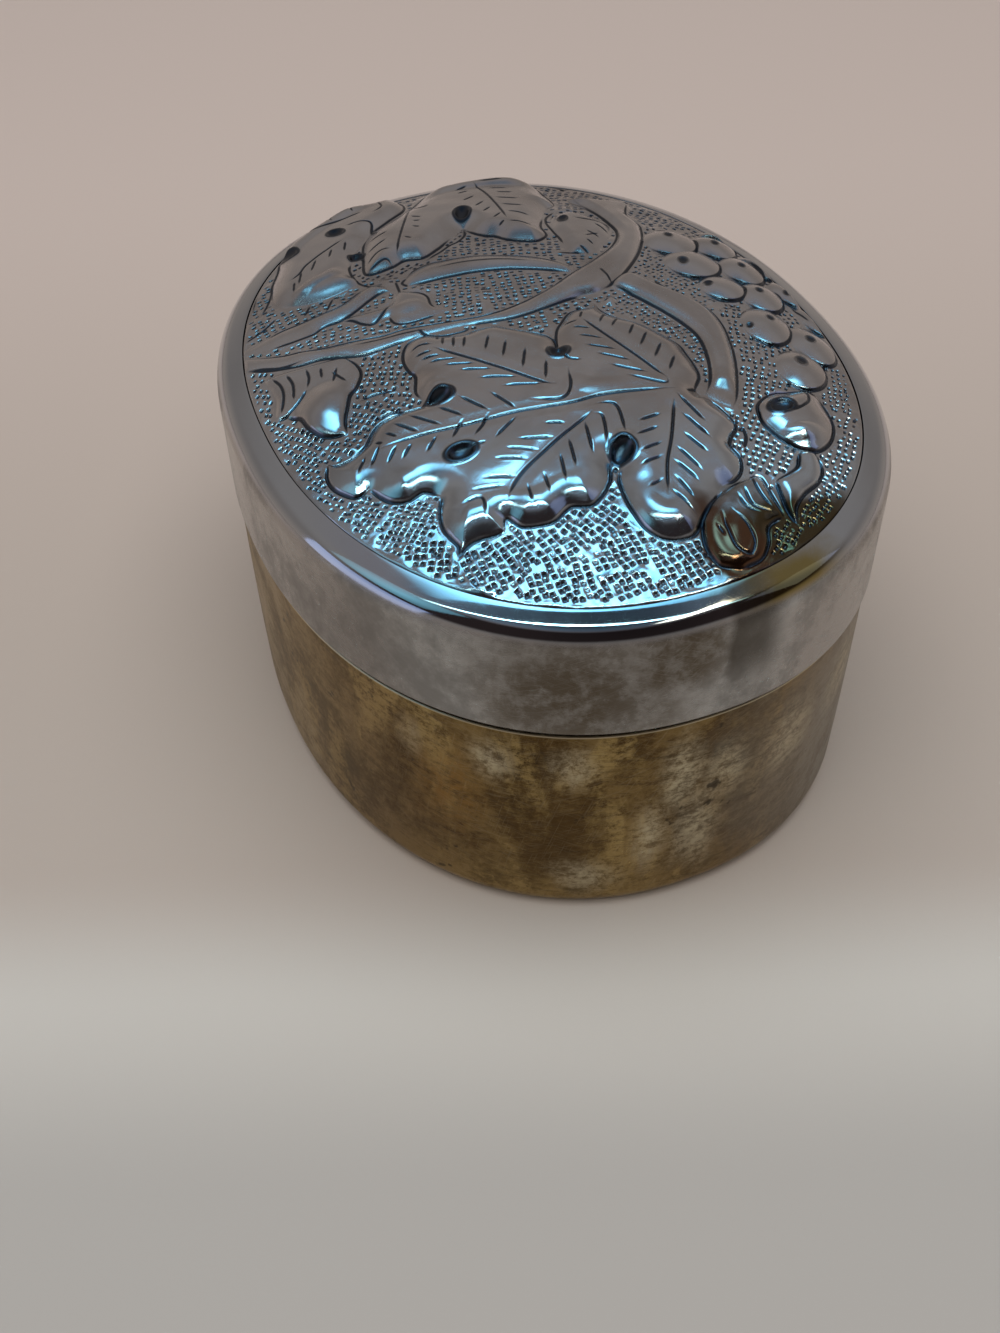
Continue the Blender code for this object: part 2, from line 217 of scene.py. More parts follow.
@dataclass
class WorkedSheet:
    """A flat sheet of heights, in millimetres, that the decoration is raised, stamped and chased into."""

    half_right: float = 37.0
    half_away: float = 43.0
    pitch: float = 0.1
    lip_share: float = 0.12
    scale_way: float = math.radians(-40.0)
    scale_reach: float = math.radians(118.0)
    height: np.ndarray = field(init=False)
    recess: np.ndarray = field(init=False)
    busy: np.ndarray = field(init=False)

    def __post_init__(self) -> None:
        """Lay out the flat sheet."""
        self.right = np.arange(-self.half_right, self.half_right, self.pitch)
        self.away = np.arange(-self.half_away, self.half_away, self.pitch)
        shape = (len(self.away), len(self.right))
        self.height = np.zeros(shape)
        self.recess = np.zeros(shape)
        self.busy = np.zeros(shape)

    def window(self, line: np.ndarray, reach: float) -> tuple[slice, slice]:
        """Rows and columns of the cells within a reach of a line's box."""
        low, high = line.min(0) - reach, line.max(0) + reach
        first = np.floor((low + (self.half_right, self.half_away)) / self.pitch).astype(int)
        last = np.ceil((high + (self.half_right, self.half_away)) / self.pitch).astype(int) + 1
        first = np.maximum(first, 0)
        return slice(first[1], max(first[1] + 1, last[1])), slice(first[0], max(first[0] + 1, last[0]))

    def gaps(self, line: np.ndarray, reach: float, closed: bool = False) -> tuple[tuple[slice, slice],
                                                                                  np.ndarray, np.ndarray]:
        """Distance from cells to a line, and how far along it the nearest point is.

        Args:
            line: Points of the line.
            reach: Distance beyond which cells aren't measured, in millimetres.
            closed: Whether the line comes back to its start.

        Returns:
            The window's slices, the distances, and the share of the line's length, in that window.
        """
        rows, columns = self.window(line, reach)
        right, away = self.right[columns], self.away[rows]
        gap = np.full((len(away), len(right)), reach)
        along = np.zeros_like(gap)
        ends = np.concatenate([line[1:], line[:1]]) if closed else line[1:]
        starts = line if closed else line[:-1]
        lengths = np.linalg.norm(ends - starts, axis=1)
        travelled = np.concatenate([[0.0], np.cumsum(lengths)])
        for start, end, length, before in zip(starts, ends, lengths, travelled):
            if length < 1e-9:
                continue
            low, high = np.minimum(start, end) - reach, np.maximum(start, end) + reach
            c0, c1 = np.searchsorted(right, (low[0], high[0]))
            r0, r1 = np.searchsorted(away, (low[1], high[1]))
            x = right[None, c0:c1] - start[0]
            y = away[r0:r1, None] - start[1]
            ahead = (end - start) / length
            share = np.clip((x * ahead[0] + y * ahead[1]) / length, 0, 1)
            distance = np.hypot(x - share * length * ahead[0], y - share * length * ahead[1])
            here = gap[r0:r1, c0:c1]
            nearer = distance < here
            here[nearer] = distance[nearer]
            along[r0:r1, c0:c1][nearer] = ((before + share * length) / travelled[-1])[nearer]
        return (rows, columns), gap, along

    def inside(self, line: np.ndarray, cells: tuple[slice, slice]) -> np.ndarray:
        """Which cells of a window lie inside a closed line."""
        right, away = self.right[cells[1]], self.away[cells[0]]
        held = np.zeros((len(away), len(right)), bool)
        for start, end in zip(line, np.roll(line, -1, axis=0)):
            low, high = sorted((start, end), key=lambda p: p[1])
            r0, r1 = np.searchsorted(away, (low[1], high[1]))
            if r1 > r0:
                crossing = low[0] + (high[0] - low[0]) * (away[r0:r1] - low[1]) / (high[1] - low[1])
                held[r0:r1] ^= right[None, :] < crossing[:, None]
        return held

    def raise_region(self, outline: Line, height: float, edge: float, fullness: float = 2.0) -> None:
        """Push a closed region up from behind, with a rounded edge inside its outline.

        Args:
            outline: The region's closed outline.
            height: How far it stands above the ground, in millimetres.
            edge: Width of the rounded edge.
            fullness: How abruptly the edge rises from the outline.
        """
        line = smooth_line(outline, closed=True)
        cells, gap, _ = self.gaps(line, edge, closed=True)
        held = self.inside(line, cells)
        rise = height * (1 - (1 - np.clip(gap / edge, 0, 1)) ** fullness)
        self.height[cells] = np.where(held, np.maximum(self.height[cells], rise), self.height[cells])
        self.busy[cells] = np.maximum(self.busy[cells], held | (gap < 0.35))

    def raise_line(self, points: Line, width: float, height: float, taper: float = 0.3) -> None:
        """Push a soft ridge up along a line, added to what is there."""
        line = smooth_line(points)
        cells, gap, along = self.gaps(line, width / 2)
        ends = ease(np.minimum(along, 1 - along) / taper)
        self.height[cells] += height * ends * np.clip(1 - (2 * gap / width) ** 2, 0, 1) ** 1.5
        self.busy[cells] = np.maximum(self.busy[cells], (ends > 0.2) & (gap < width / 2 - 0.1))

    def sink_valley(self, points: Line, width: float, depth: float) -> None:
        """Let a soft valley down along a line, as beside a leaf's rib."""
        line = smooth_line(points)
        cells, gap, along = self.gaps(line, width / 2)
        ends = ease(np.minimum(along, 1 - along) / 0.12)
        self.height[cells] -= depth * ends * np.clip(1 - (2 * gap / width) ** 2, 0, 1) ** 1.2

    def oval_share(self, middle: Point, size: Point, turn: float) -> tuple[tuple[slice, slice],
                                                                           np.ndarray]:
        """How far cells lie from the middle of a turned oval, as a share of its size.

        Args:
            middle: The oval's middle.
            size: Its half sizes along and across.
            turn: Direction of its length, in degrees from u towards v.

        Returns:
            The window's slices and the share in it, 1 on the oval's line.
        """
        reach = max(size)
        cells = self.window(np.array([middle]), reach)
        x = self.right[cells[1]][None, :] - middle[0]
        y = self.away[cells[0]][:, None] - middle[1]
        c, s = math.cos(math.radians(turn)), math.sin(math.radians(turn))
        return cells, np.hypot((x * c + y * s) / size[0], (y * c - x * s) / size[1])

    def puff(self, middle: Point, size: Point, turn: float, height: float) -> None:
        """Push a soft oval bulge up from behind, added to what is there."""
        cells, share = self.oval_share(middle, size, turn)
        self.height[cells] += height * np.clip(1 - share**2, 0, 1) ** 1.5

    def press(self, middle: Point, size: Point, turn: float, share: float) -> None:
        """Press an oval part of the sheet back by a share of its height, softly."""
        cells, reach = self.oval_share(middle, size, turn)
        self.height[cells] *= 1 - share * ease(1.6 * (1 - reach))

    def stamp_dome(self, middle: Point, size: Point, turn: float, height: float, foot: float) -> None:
        """Set an oval bead over whatever is there, like a scale, and sink a line round its near right side.

        Args:
            middle: The bead's middle.
            size: Its half sizes along and across.
            turn: Direction of its length, in degrees from u towards v.
            height: Height of its crown above the ground, in millimetres.
            foot: Height of its edge at the near right, from which it falls to nothing on the other side.
        """
        cells, share = self.oval_share(middle, size, turn)
        way = np.arctan2(self.away[cells[0]][:, None] - middle[1],
                         self.right[cells[1]][None, :] - middle[0])
        lean = foot * (0.5 + 0.5 * np.cos(way - self.scale_way))
        dome = lean + (height - lean) * (1 - np.clip(share, 0, 1) ** 2.2)
        held = share < 1
        self.height[cells] = np.where(held, dome, self.height[cells])
        self.recess[cells] = np.where(held, 0, self.recess[cells])
        self.busy[cells] = np.maximum(self.busy[cells], held)
        around = self.scale_way - math.radians(turn) + np.linspace(-1.0, 1.0, 17) * self.scale_reach
        c, s = math.cos(math.radians(turn)), math.sin(math.radians(turn))
        arc = tuple((middle[0] + size[0] * math.cos(a) * c - size[1] * math.sin(a) * s,
                     middle[1] + size[0] * math.cos(a) * s + size[1] * math.sin(a) * c) for a in around)
        self.chase(arc, 0.28, 0.14, taper=0.3)

    def drill(self, middle: Point, radius: float, depth: float, turn: float = 0.0, stretch: float = 1.0,
              tone: float = 1.0) -> None:
        """Punch a round or drop-shaped hollow, darkened by a share."""
        cells, share = self.oval_share(middle, (radius * stretch * 1.6, radius * 1.6), turn)
        self.height[cells] -= depth * np.clip(1 - (share * 1.6) ** 2, 0, 1) ** 0.7
        self.height[cells] += 0.25 * depth * np.exp(-(((share * 1.6 - 1.25) / 0.25) ** 2)) * (share < 1)
        self.recess[cells] = np.maximum(self.recess[cells],
                                        tone * np.clip(1.6 - 1.6 * share, 0, 1) ** 0.5)
        self.busy[cells] = np.maximum(self.busy[cells], share < 0.9)

    def chase(self, points: Line, width: float, depth: float, taper: float) -> None:
        """Sink a line with a blunt tracer, which throws up a small lip on both sides.

        Args:
            points: The drawn line.
            width: Width of the sunk line, in millimetres.
            depth: Its depth.
            taper: Share of the line over which each end runs out.
        """
        line = smooth_line(points)
        cells, gap, along = self.gaps(line, width * 1.3)
        ends = ease(np.minimum(along, 1 - along) / taper)
        half = width / 2 * (0.45 + 0.55 * ends)
        share = gap / half
        cut = depth * (0.25 + 0.75 * ends) * np.clip(1 - share**2, 0, 1) ** 1.4
        lip = self.lip_share * depth * ends * np.exp(-(((share - 1.55) / 0.4) ** 2))
        self.height[cells] += np.where(gap < width * 1.25, lip, 0) - cut
        self.recess[cells] = np.maximum(self.recess[cells],
                                        (0.4 + 0.6 * ends) * np.clip(1.15 - share, 0, 1) ** 0.6)
        self.busy[cells] = np.maximum(self.busy[cells], gap < width / 2 + 0.12)

    def ruffle(self, spacing: float, depth: float, seed: int, spared: float = 1.0) -> None:
        """Leave the sheet gently uneven, in swells a spacing apart, and raised pieces less so by a share."""
        draw = np.random.default_rng(seed)
        shape = (int(2 * self.half_away / spacing) + 3, int(2 * self.half_right / spacing) + 3)
        swells = draw.normal(0.0, 1.0, shape)
        row = (self.away + self.half_away) / spacing
        column = (self.right + self.half_right) / spacing
        down, across = row.astype(int), column.astype(int)
        row, column = ease(row - down)[:, None], ease(column - across)[None, :]
        near = swells[down][:, across] * (1 - column) + swells[down][:, across + 1] * column
        far = swells[down + 1][:, across] * (1 - column) + swells[down + 1][:, across + 1] * column
        self.height += depth * (near * (1 - row) + far * row) * (1 - spared * np.minimum(self.busy, 1))

    def soften(self, values: np.ndarray, passes: int) -> np.ndarray:
        """Values blurred by a small kernel, a number of times."""
        for _ in range(passes):
            for axis in (0, 1):
                values = 0.5 * values + 0.25 * (np.roll(values, 1, axis) + np.roll(values, -1, axis))
        return values

    def at(self, values: np.ndarray, right: np.ndarray, away: np.ndarray) -> np.ndarray:
        """Values between the cells at given places, by straight interpolation."""
        x = np.clip((right + self.half_right) / self.pitch, 0, values.shape[1] - 1.001)
        y = np.clip((away + self.half_away) / self.pitch, 0, values.shape[0] - 1.001)
        column, row = x.astype(int), y.astype(int)
        x, y = x - column, y - row
        low = values[row, column] * (1 - x) + values[row, column + 1] * x
        high = values[row + 1, column] * (1 - x) + values[row + 1, column + 1] * x
        return low * (1 - y) + high * y


class Stroke(Enum):
    """Tracers used on the lid: width and depth in millimetres, and the share over which ends run out."""

    OUTLINE = (0.36, 0.26, 0.12)
    RIB = (0.34, 0.25, 0.15)
    VEIN = (0.32, 0.22, 0.3)
    FINE = (0.25, 0.13, 0.3)


FAR_START = -18.0
FAR_REACH = 22.0
FAR_NARROWER = 0.22
FAR_SHALLOWER = 0.4


def chase_all(sheet: WorkedSheet, stroke: Stroke, *lines: Line) -> None:
    """Chase several lines with one tracer, finer on the far side of the lid than on the near one."""
    width, depth, taper = stroke.value
    for line in lines:
        far = float(ease((np.mean([away for _, away in line]) - FAR_START) / FAR_REACH))
        sheet.chase(line, width * (1 - FAR_NARROWER * far), depth * (1 - FAR_SHALLOWER * far), taper)


@dataclass
class VineDrawing:
    """The vine on the lid, drawn piece by piece from the back of the pattern to its front."""

    leaf_height: float = 1.2
    stem_height: float = 0.95
    edge: float = 3.0

    def work(self, sheet: WorkedSheet) -> None:
        """Work the whole pattern into a sheet, the pieces that lie underneath first."""
        self.left_rear_leaf(sheet)
        self.rear_leaf(sheet)
        self.long_leaf(sheet)
        self.small_leaf(sheet)
        self.left_middle(sheet)
        self.stem_to_grapes(sheet)
        self.main_stem(sheet)
        self.grapes(sheet)
        self.left_half_leaf(sheet)
        self.right_curl(sheet)
        self.front_right_leaf(sheet)
        self.front_leaf(sheet)
        sheet.ruffle(2.3, 0.06, 4)
        sheet.ruffle(1.15, 0.04, 9)
        sheet.ruffle(0.62, 0.022, 17)
        sheet.ruffle(2.1, 0.02, 23, 0.0)

    def main_stem(self, sheet: WorkedSheet) -> None:
        """The stem from the left edge across the middle and round to the back."""
        upper = (
            (-34.7, 2.0), (-33.2, 1.5), (-30.9, 0.8), (-28.2, 0.4), (-24.7, 0.3), (-21.3, 0.5),
            (-17.8, 0.8), (-15.0, 1.5), (-10.1, 2.1), (-6.4, 2.8), (-3.8, 4.0), (-0.9, 6.1), (1.7, 8.6),
            (3.0, 10.3), (5.0, 12.8), (7.0, 15.3), (9.0, 18.5), (10.1, 21.5), (10.3, 24.0), (9.5, 26.5),
            (8.0, 29.8), (6.5, 32.3), (5.0, 34.4))
        lower = (
            (12.5, 34.0), (12.0, 30.3), (13.3, 27.0), (13.5, 25.0), (13.3, 21.5), (12.3, 17.0),
            (10.5, 12.5), (8.6, 9.3), (7.0, 7.5), (4.9, 6.6), (3.0, 5.4), (0.4, 3.8), (-3.3, 2.0),
            (-8.1, 1.1), (-14.5, -0.5), (-16.6, -1.3), (-18.5, -2.0), (-20.4, -2.4), (-24.7, -1.8),
            (-27.3, -2.1), (-30.6, -1.7), (-34.0, -0.6))
        sheet.raise_region(upper + lower, self.stem_height * 0.8, 1.3)
        sheet.press((-31.0, 0.0), (17.0, 8.0), 0.0, 0.75)
        sheet.press((-8.0, 1.2), (18.0, 7.0), 10.0, 0.62)
        chase_all(sheet, Stroke.OUTLINE, upper, lower[:9], lower[9:14], lower[14:])
        chase_all(
            sheet, Stroke.FINE, ((-33.5, -0.6), (-31.6, -1.1), (-29.2, -1.7), (-26.6, -1.3)),
            ((-22.0, -0.6), (-18.5, -0.3), (-15.2, 0.4), (-12.0, 0.9)),
            ((5.0, 34.4), (8.0, 35.6), (12.5, 34.0)))
        sheet.raise_line(((-29.5, 1.0), (-25.0, -0.8), (-20.0, -0.9)), 2.0, 0.15)

    def stem_to_grapes(self, sheet: WorkedSheet) -> None:
        """The shorter stem that leaves the main one at a fork and curves down on the right."""
        left = (
            (8.6, 9.1), (11.3, 6.7), (14.0, 4.0), (16.3, 1.3), (17.8, -1.7), (18.3, -6.0), (18.0, -9.7),
            (17.3, -12.0))
        right = (
            (20.0, -13.8), (20.7, -11.7), (21.3, -6.7), (21.3, -2.0), (20.8, 2.0), (19.7, 5.0),
            (17.7, 7.3), (14.3, 9.7), (10.8, 12.2))
        sheet.raise_region(left + right, self.stem_height * 0.8, 1.3)
        sheet.press((19.0, -12.6), (4.0, 3.4), 0.0, 0.75)
        chase_all(sheet, Stroke.OUTLINE, left, right)
        chase_all(sheet, Stroke.RIB, ((13.8, 10.8), (15.0, 9.4)), ((7.4, 12.0), (8.6, 9.5)))

    def front_leaf(self, sheet: WorkedSheet) -> None:
        """The large leaf with five lobes in front, its puffed rim, its veins and the drops in its notches."""
        right_top = (
            (6.2, 4.9), (7.1, 3.1), (8.8, 1.7), (10.9, 0.7), (13.3, -1.2), (15.2, -3.1), (15.9, -4.8),
            (16.7, -7.2), (16.9, -9.0), (16.2, -11.2), (16.6, -12.2))
        right_low = (
            (17.4, -12.5), (18.3, -13.8), (19.5, -15.5), (20.0, -17.0), (19.3, -18.5), (19.0, -20.0),
            (19.8, -21.5), (19.8, -23.3), (19.0, -24.8), (17.5, -25.9))
        foot = (
            (16.4, -28.0), (15.2, -30.2), (14.3, -32.1), (13.3, -32.8), (12.0, -33.1), (10.5, -32.8),
            (9.0, -31.5), (7.9, -29.3), (7.3, -27.2), (7.0, -25.5), (7.2, -23.6))
        notch = ((6.6, -22.6), (6.3, -23.4), (6.1, -25.5), (5.3, -27.3))
        middle_low = (
            (4.0, -28.8), (2.0, -29.0), (0.3, -30.7), (-1.3, -31.2), (-3.0, -31.2), (-4.5, -30.2),
            (-4.7, -31.7), (-5.9, -32.1), (-7.3, -32.4), (-8.5, -33.1), (-9.4, -34.5), (-9.3, -33.0),
            (-10.1, -31.9), (-10.9, -30.5), (-11.2, -28.6), (-11.1, -26.2))
        left_low = (
            (-12.8, -25.5), (-14.4, -26.4), (-16.1, -26.2), (-17.5, -25.2), (-18.5, -24.0),
            (-19.7, -24.8), (-20.9, -24.3), (-22.3, -23.1), (-23.1, -21.4), (-23.1, -19.4))
        left_top = (
            (-22.2, -19.8), (-20.6, -19.3), (-19.2, -17.9), (-18.6, -16.2), (-17.8, -14.8),
            (-16.1, -13.8), (-13.5, -13.1), (-12.4, -12.7))
        upper_left = (
            (-13.1, -11.8), (-13.9, -10.4), (-14.0, -7.7), (-14.7, -6.7), (-15.4, -4.8), (-15.4, -2.7),
            (-14.7, -1.2), (-13.0, -0.4), (-10.9, -0.9), (-8.8, -1.0))
        crown = ((-7.0, -0.1), (-5.1, 0.3), (-3.3, -0.4), (-0.6, -1.2), (1.2, -2.5), (1.7, -4.4))
        curl = ((1.7, -1.2), (2.4, 0.9), (3.3, 2.7), (4.6, 3.5), (6.0, 4.0))
        whole = right_top + right_low + foot + notch + middle_low + left_low
        whole += left_top + upper_left + crown + curl
        sheet.raise_region(whole, self.leaf_height, self.edge)
        self.puffed_rim(sheet)
        sheet.press((-20.0, -22.6), (7.0, 5.0), -20.0, 0.35)
        chase_all(
            sheet, Stroke.OUTLINE, right_top, right_low, foot, notch + middle_low[:7], middle_low[6:11],
            middle_low[10:], middle_low[-1:] + left_low[:5], left_low[4:], left_low[-1:] + left_top,
            upper_left, upper_left[-1:] + crown, ((1.6, -4.8),) + curl,
            ((-13.9, 1.0), (-13.0, -0.1), (-10.9, -0.6), (-9.0, -0.2), (-7.9, 0.4)),
            ((20.6, -16.6), (20.9, -18.2), (20.5, -20.0)), ((16.2, -11.2), (15.3, -12.2)))
        self.front_veins(sheet)
        for middle, radius, turn, stretch in (
                ((1.7, -6.0), 0.95, 75.0, 1.2), ((-11.3, -12.7), 1.0, 20.0, 1.25),
                ((-9.0, -21.7), 1.0, 25.0, 1.35), ((7.6, -22.0), 1.1, 80.0, 1.15)):
            sheet.drill(middle, radius, 0.62, turn, stretch)
        chase_all(
            sheet, Stroke.VEIN, ((2.1, -6.9), (2.9, -7.7), (4.2, -7.9)),
            ((-8.1, -21.2), (-7.2, -20.8), (-6.4, -20.5)))

    def puffed_rim(self, sheet: WorkedSheet) -> None:
        """The soft bulges between the front leaf's veins and along its edge."""
        for points, width, height in (
                (((-22.2, -20.4), (-20.6, -22.6), (-18.6, -22.5), (-16.4, -24.2), (-14.0, -24.6),
                  (-12.0, -23.6)), 3.4, 0.5),
                (((-10.0, -27.6), (-9.4, -30.6), (-7.6, -30.4), (-5.4, -29.4), (-3.0, -29.3),
                  (-0.8, -29.0), (1.4, -27.6), (3.6, -26.6), (5.0, -25.4)), 3.4, 0.5),
                (((8.2, -26.4), (9.0, -29.4), (10.8, -31.0), (13.0, -30.8), (14.4, -28.8),
                  (15.2, -27.0)), 3.4, 0.5),
                (((16.4, -14.0), (17.9, -17.0), (17.4, -20.0), (17.9, -23.2)), 3.4, 0.34),
                (((6.8, 2.6), (9.8, 0.2), (12.8, -2.6), (14.8, -6.0), (15.4, -9.6)), 3.4, 0.24),
                (((-12.6, -2.0), (-8.6, -1.8), (-4.6, -1.4), (-0.8, -3.2)), 3.6, 0.22),
                (((-12.4, -8.2), (-11.0, -10.6), (-7.6, -11.4)), 3.6, 0.22),
                (((-17.4, -16.6), (-14.4, -14.6), (-10.6, -13.6), (-6.4, -13.2)), 3.0, 0.2),
                (((1.9, -11.0), (5.2, -12.4), (9.4, -12.0)), 2.6, 0.22),
                (((3.0, -3.0), (5.4, -6.6), (8.8, -9.4)), 4.4, 0.16),
                (((-2.0, -20.0), (-5.6, -23.6), (-8.4, -25.6)), 4.2, 0.22),
                (((3.2, -20.4), (1.6, -24.4), (-0.8, -27.4)), 3.6, 0.18),
                (((9.8, -19.0), (9.4, -23.0), (9.6, -26.4)), 3.2, 0.24)):
            sheet.raise_line(points, width * 1.15, height * 0.55)
        sheet.puff((-11.7, -11.2), (1.5, 1.3), 0.0, 0.3)
        sheet.puff((7.8, -20.2), (1.3, 0.9), 0.0, 0.25)

    def front_veins(self, sheet: WorkedSheet) -> None:
        """Midribs and side veins of the front leaf's five lobes."""
        ribs = (
            ((4.5, 0.2), (7.2, -3.3), (10.1, -6.9), (13.2, -10.8)),
            ((-12.1, -4.2), (-5.1, -8.5), (-0.1, -11.6), (1.3, -12.1)),
            ((14.0, -12.5), (10.4, -13.0), (5.7, -13.9), (2.5, -15.1), (-3.2, -16.2), (-8.5, -17.7),
             (-13.2, -18.5), (-17.4, -19.6)), ((4.8, -16.5), (0.6, -21.1), (-3.0, -25.5), (-4.5, -28.7)),
            ((13.6, -14.3), (12.8, -20.0), (12.0, -24.0), (11.7, -28.3)))
        for rib in ribs:
            sheet.sink_valley(rib, 3.0, 0.11)
        chase_all(sheet, Stroke.RIB, *ribs)
        upper_right = (
            ((4.7, 1.9), (4.4, 0.2)), ((2.5, -0.4), (4.2, -0.2)), ((3.4, -1.6), (5.5, -1.9)),
            ((3.9, -3.3), (6.8, -3.9)), ((4.5, -5.2), (8.3, -6.1)), ((5.7, -6.8), (9.6, -8.0)),
            ((7.0, -8.8), (11.3, -10.0)), ((8.8, -10.5), (12.8, -11.7), (13.2, -10.8)),
            ((7.3, 1.8), (6.5, -0.9)), ((8.7, 0.8), (7.8, -1.7)), ((10.4, -0.7), (9.6, -3.3)),
            ((11.7, -2.3), (10.7, -5.3)), ((13.1, -4.4), (12.1, -7.4)), ((14.4, -6.6), (13.5, -9.5)))
        upper_left = (
            ((-14.6, -4.1), (-13.7, -3.5), (-12.1, -3.6)), ((-11.6, -1.5), (-11.6, -2.7)),
            ((-11.0, -1.8), (-11.0, -4.0)), ((-9.8, -2.2), (-9.8, -4.6)), ((-8.5, -2.5), (-8.7, -4.8)),
            ((-5.9, -2.7), (-6.3, -5.6)), ((-4.0, -3.8), (-4.4, -7.0)), ((-1.9, -5.4), (-2.3, -9.1)),
            ((0.3, -7.7), (0.1, -11.1)), ((2.6, -9.3), (2.7, -12.6), (1.6, -14.4), (-1.6, -14.4)),
            ((-14.1, -5.2), (-12.1, -4.9)), ((-13.4, -6.0), (-11.1, -5.7)),
            ((-12.6, -6.8), (-9.2, -6.5)), ((-10.9, -7.7), (-7.3, -7.7)), ((-9.3, -8.8), (-5.4, -8.9)),
            ((-7.2, -10.4), (-2.7, -10.5)), ((-4.6, -12.0), (-0.1, -11.8)))
        left = (
            ((-5.9, -12.9), (-3.2, -15.7)), ((-9.3, -13.2), (-6.0, -15.8)),
            ((-11.5, -14.5), (-8.7, -16.4)), ((-14.7, -15.2), (-11.0, -17.4)),
            ((-16.2, -16.2), (-13.4, -18.0)), ((-17.0, -17.4), (-15.7, -18.3)),
            ((-18.0, -18.4), (-17.2, -18.9)), ((-3.1, -16.9), (-5.5, -20.1)),
            ((-6.1, -16.2), (-6.7, -17.9), (-7.6, -19.5)), ((-8.8, -16.9), (-9.9, -19.6)),
            ((-11.5, -18.9), (-12.5, -21.2)), ((-14.1, -19.5), (-15.0, -21.6)),
            ((-15.7, -19.6), (-16.6, -21.7)), ((-17.5, -18.9), (-18.4, -21.8)),
            ((-19.0, -19.9), (-19.7, -22.3)))
        lower_middle = (
            ((-0.3, -18.3), (1.8, -18.3)), ((-3.2, -20.5), (0.5, -20.4)), ((-4.4, -21.8), (-1.1, -22.1)),
            ((-5.5, -23.2), (-2.3, -23.3)), ((-6.7, -25.6), (-3.5, -25.6)),
            ((-7.8, -27.1), (-4.7, -26.8)), ((-9.2, -28.9), (-7.0, -28.2), (-6.5, -30.7)),
            ((4.9, -16.9), (5.8, -17.3), (6.1, -21.3)), ((5.0, -15.3), (7.3, -15.6), (8.1, -20.0)),
            ((3.9, -18.0), (4.5, -22.8)), ((2.1, -20.5), (2.7, -24.8)), ((1.1, -22.7), (1.6, -26.7)),
            ((-0.6, -25.5), (-0.1, -28.0)), ((-2.3, -26.8), (-1.9, -29.3)))
        lower_right = (
            ((9.5, -18.0), (12.0, -16.8)), ((9.1, -20.2), (11.6, -18.8)), ((9.5, -22.5), (11.7, -21.1)),
            ((9.3, -24.5), (11.6, -23.0)), ((9.9, -27.4), (11.3, -26.3)), ((13.9, -13.3), (16.6, -17.9)),
            ((14.1, -16.4), (16.9, -20.3)), ((14.0, -19.5), (16.3, -22.4)),
            ((13.1, -21.6), (15.5, -25.0)), ((12.7, -23.6), (15.1, -26.5)),
            ((12.6, -25.8), (14.4, -28.8)), ((12.1, -27.7), (14.3, -30.5)))
        chase_all(sheet, Stroke.VEIN, *upper_right, *upper_left, *left, *lower_middle, *lower_right)

    def front_right_leaf(self, sheet: WorkedSheet) -> None:
        """The small folded leaf beside the front leaf's foot."""
        outline = (
            (17.8, -26.3), (16.2, -28.2), (15.2, -30.0), (14.9, -31.8), (15.1, -34.0), (16.2, -36.0),
            (18.2, -36.4), (20.4, -35.0), (21.4, -33.0), (21.7, -30.8), (23.4, -29.4), (22.6, -26.8),
            (21.6, -24.2), (20.2, -24.6))
        sheet.raise_region(outline, 0.8, 1.4)
        chase_all(sheet, Stroke.OUTLINE, outline[:7], outline[6:11], outline[10:])
        sheet.puff((18.3, -32.2), (2.8, 1.5), 80.0, 0.25)
        chase_all(
            sheet, Stroke.RIB,
            ((17.0, -30.0), (17.3, -32.0), (18.0, -34.3), (19.3, -34.9), (19.9, -33.3), (19.3, -31.3),
             (18.0, -29.6)))
        chase_all(
            sheet, Stroke.VEIN, ((20.6, -24.2), (20.8, -26.0), (21.5, -27.8), (22.6, -29.4)),
            ((19.5, -26.1), (19.9, -28.0), (20.5, -29.0), (22.5, -29.5)),
            ((18.8, -27.4), (19.5, -29.0), (21.0, -29.8)), ((16.3, -31.5), (17.0, -33.0)))

    def right_curl(self, sheet: WorkedSheet) -> None:
        """The curled shoot at the right and the pointed leaf that hangs from it."""
        leaf = (
            (26.3, -20.0), (25.9, -22.0), (24.5, -23.5), (23.2, -24.6), (23.5, -26.5), (23.9, -28.5),
            (24.7, -30.3), (24.9, -28.0), (26.0, -26.0), (27.8, -24.0), (28.5, -22.0), (28.1, -19.8))
        sheet.raise_region(leaf, 0.7, 1.2)
        chase_all(sheet, Stroke.OUTLINE, leaf[:4], leaf[3:7], leaf[6:])
        berry = (
            (22.8, -13.0), (22.9, -15.5), (24.0, -17.3), (25.5, -18.8), (27.0, -19.5), (28.5, -19.3),
            (29.8, -18.0), (30.6, -16.3), (30.9, -14.3), (30.4, -11.8), (29.8, -9.9), (28.3, -9.3),
            (26.2, -10.2), (24.4, -10.9))
        sheet.raise_region(berry, 1.15, 3.0)
        chase_all(sheet, Stroke.OUTLINE, berry[:11], berry[11:] + berry[:2])
        sheet.puff((27.2, -17.3), (2.9, 1.3), 12.0, 0.3)
        chase_all(
            sheet, Stroke.RIB, ((28.3, -9.3), (28.6, -10.8), (28.3, -12.5), (27.0, -13.9), (25.8, -14.6)))
        sheet.drill((25.3, -13.6), 0.95, 0.5, 30.0, 1.3)

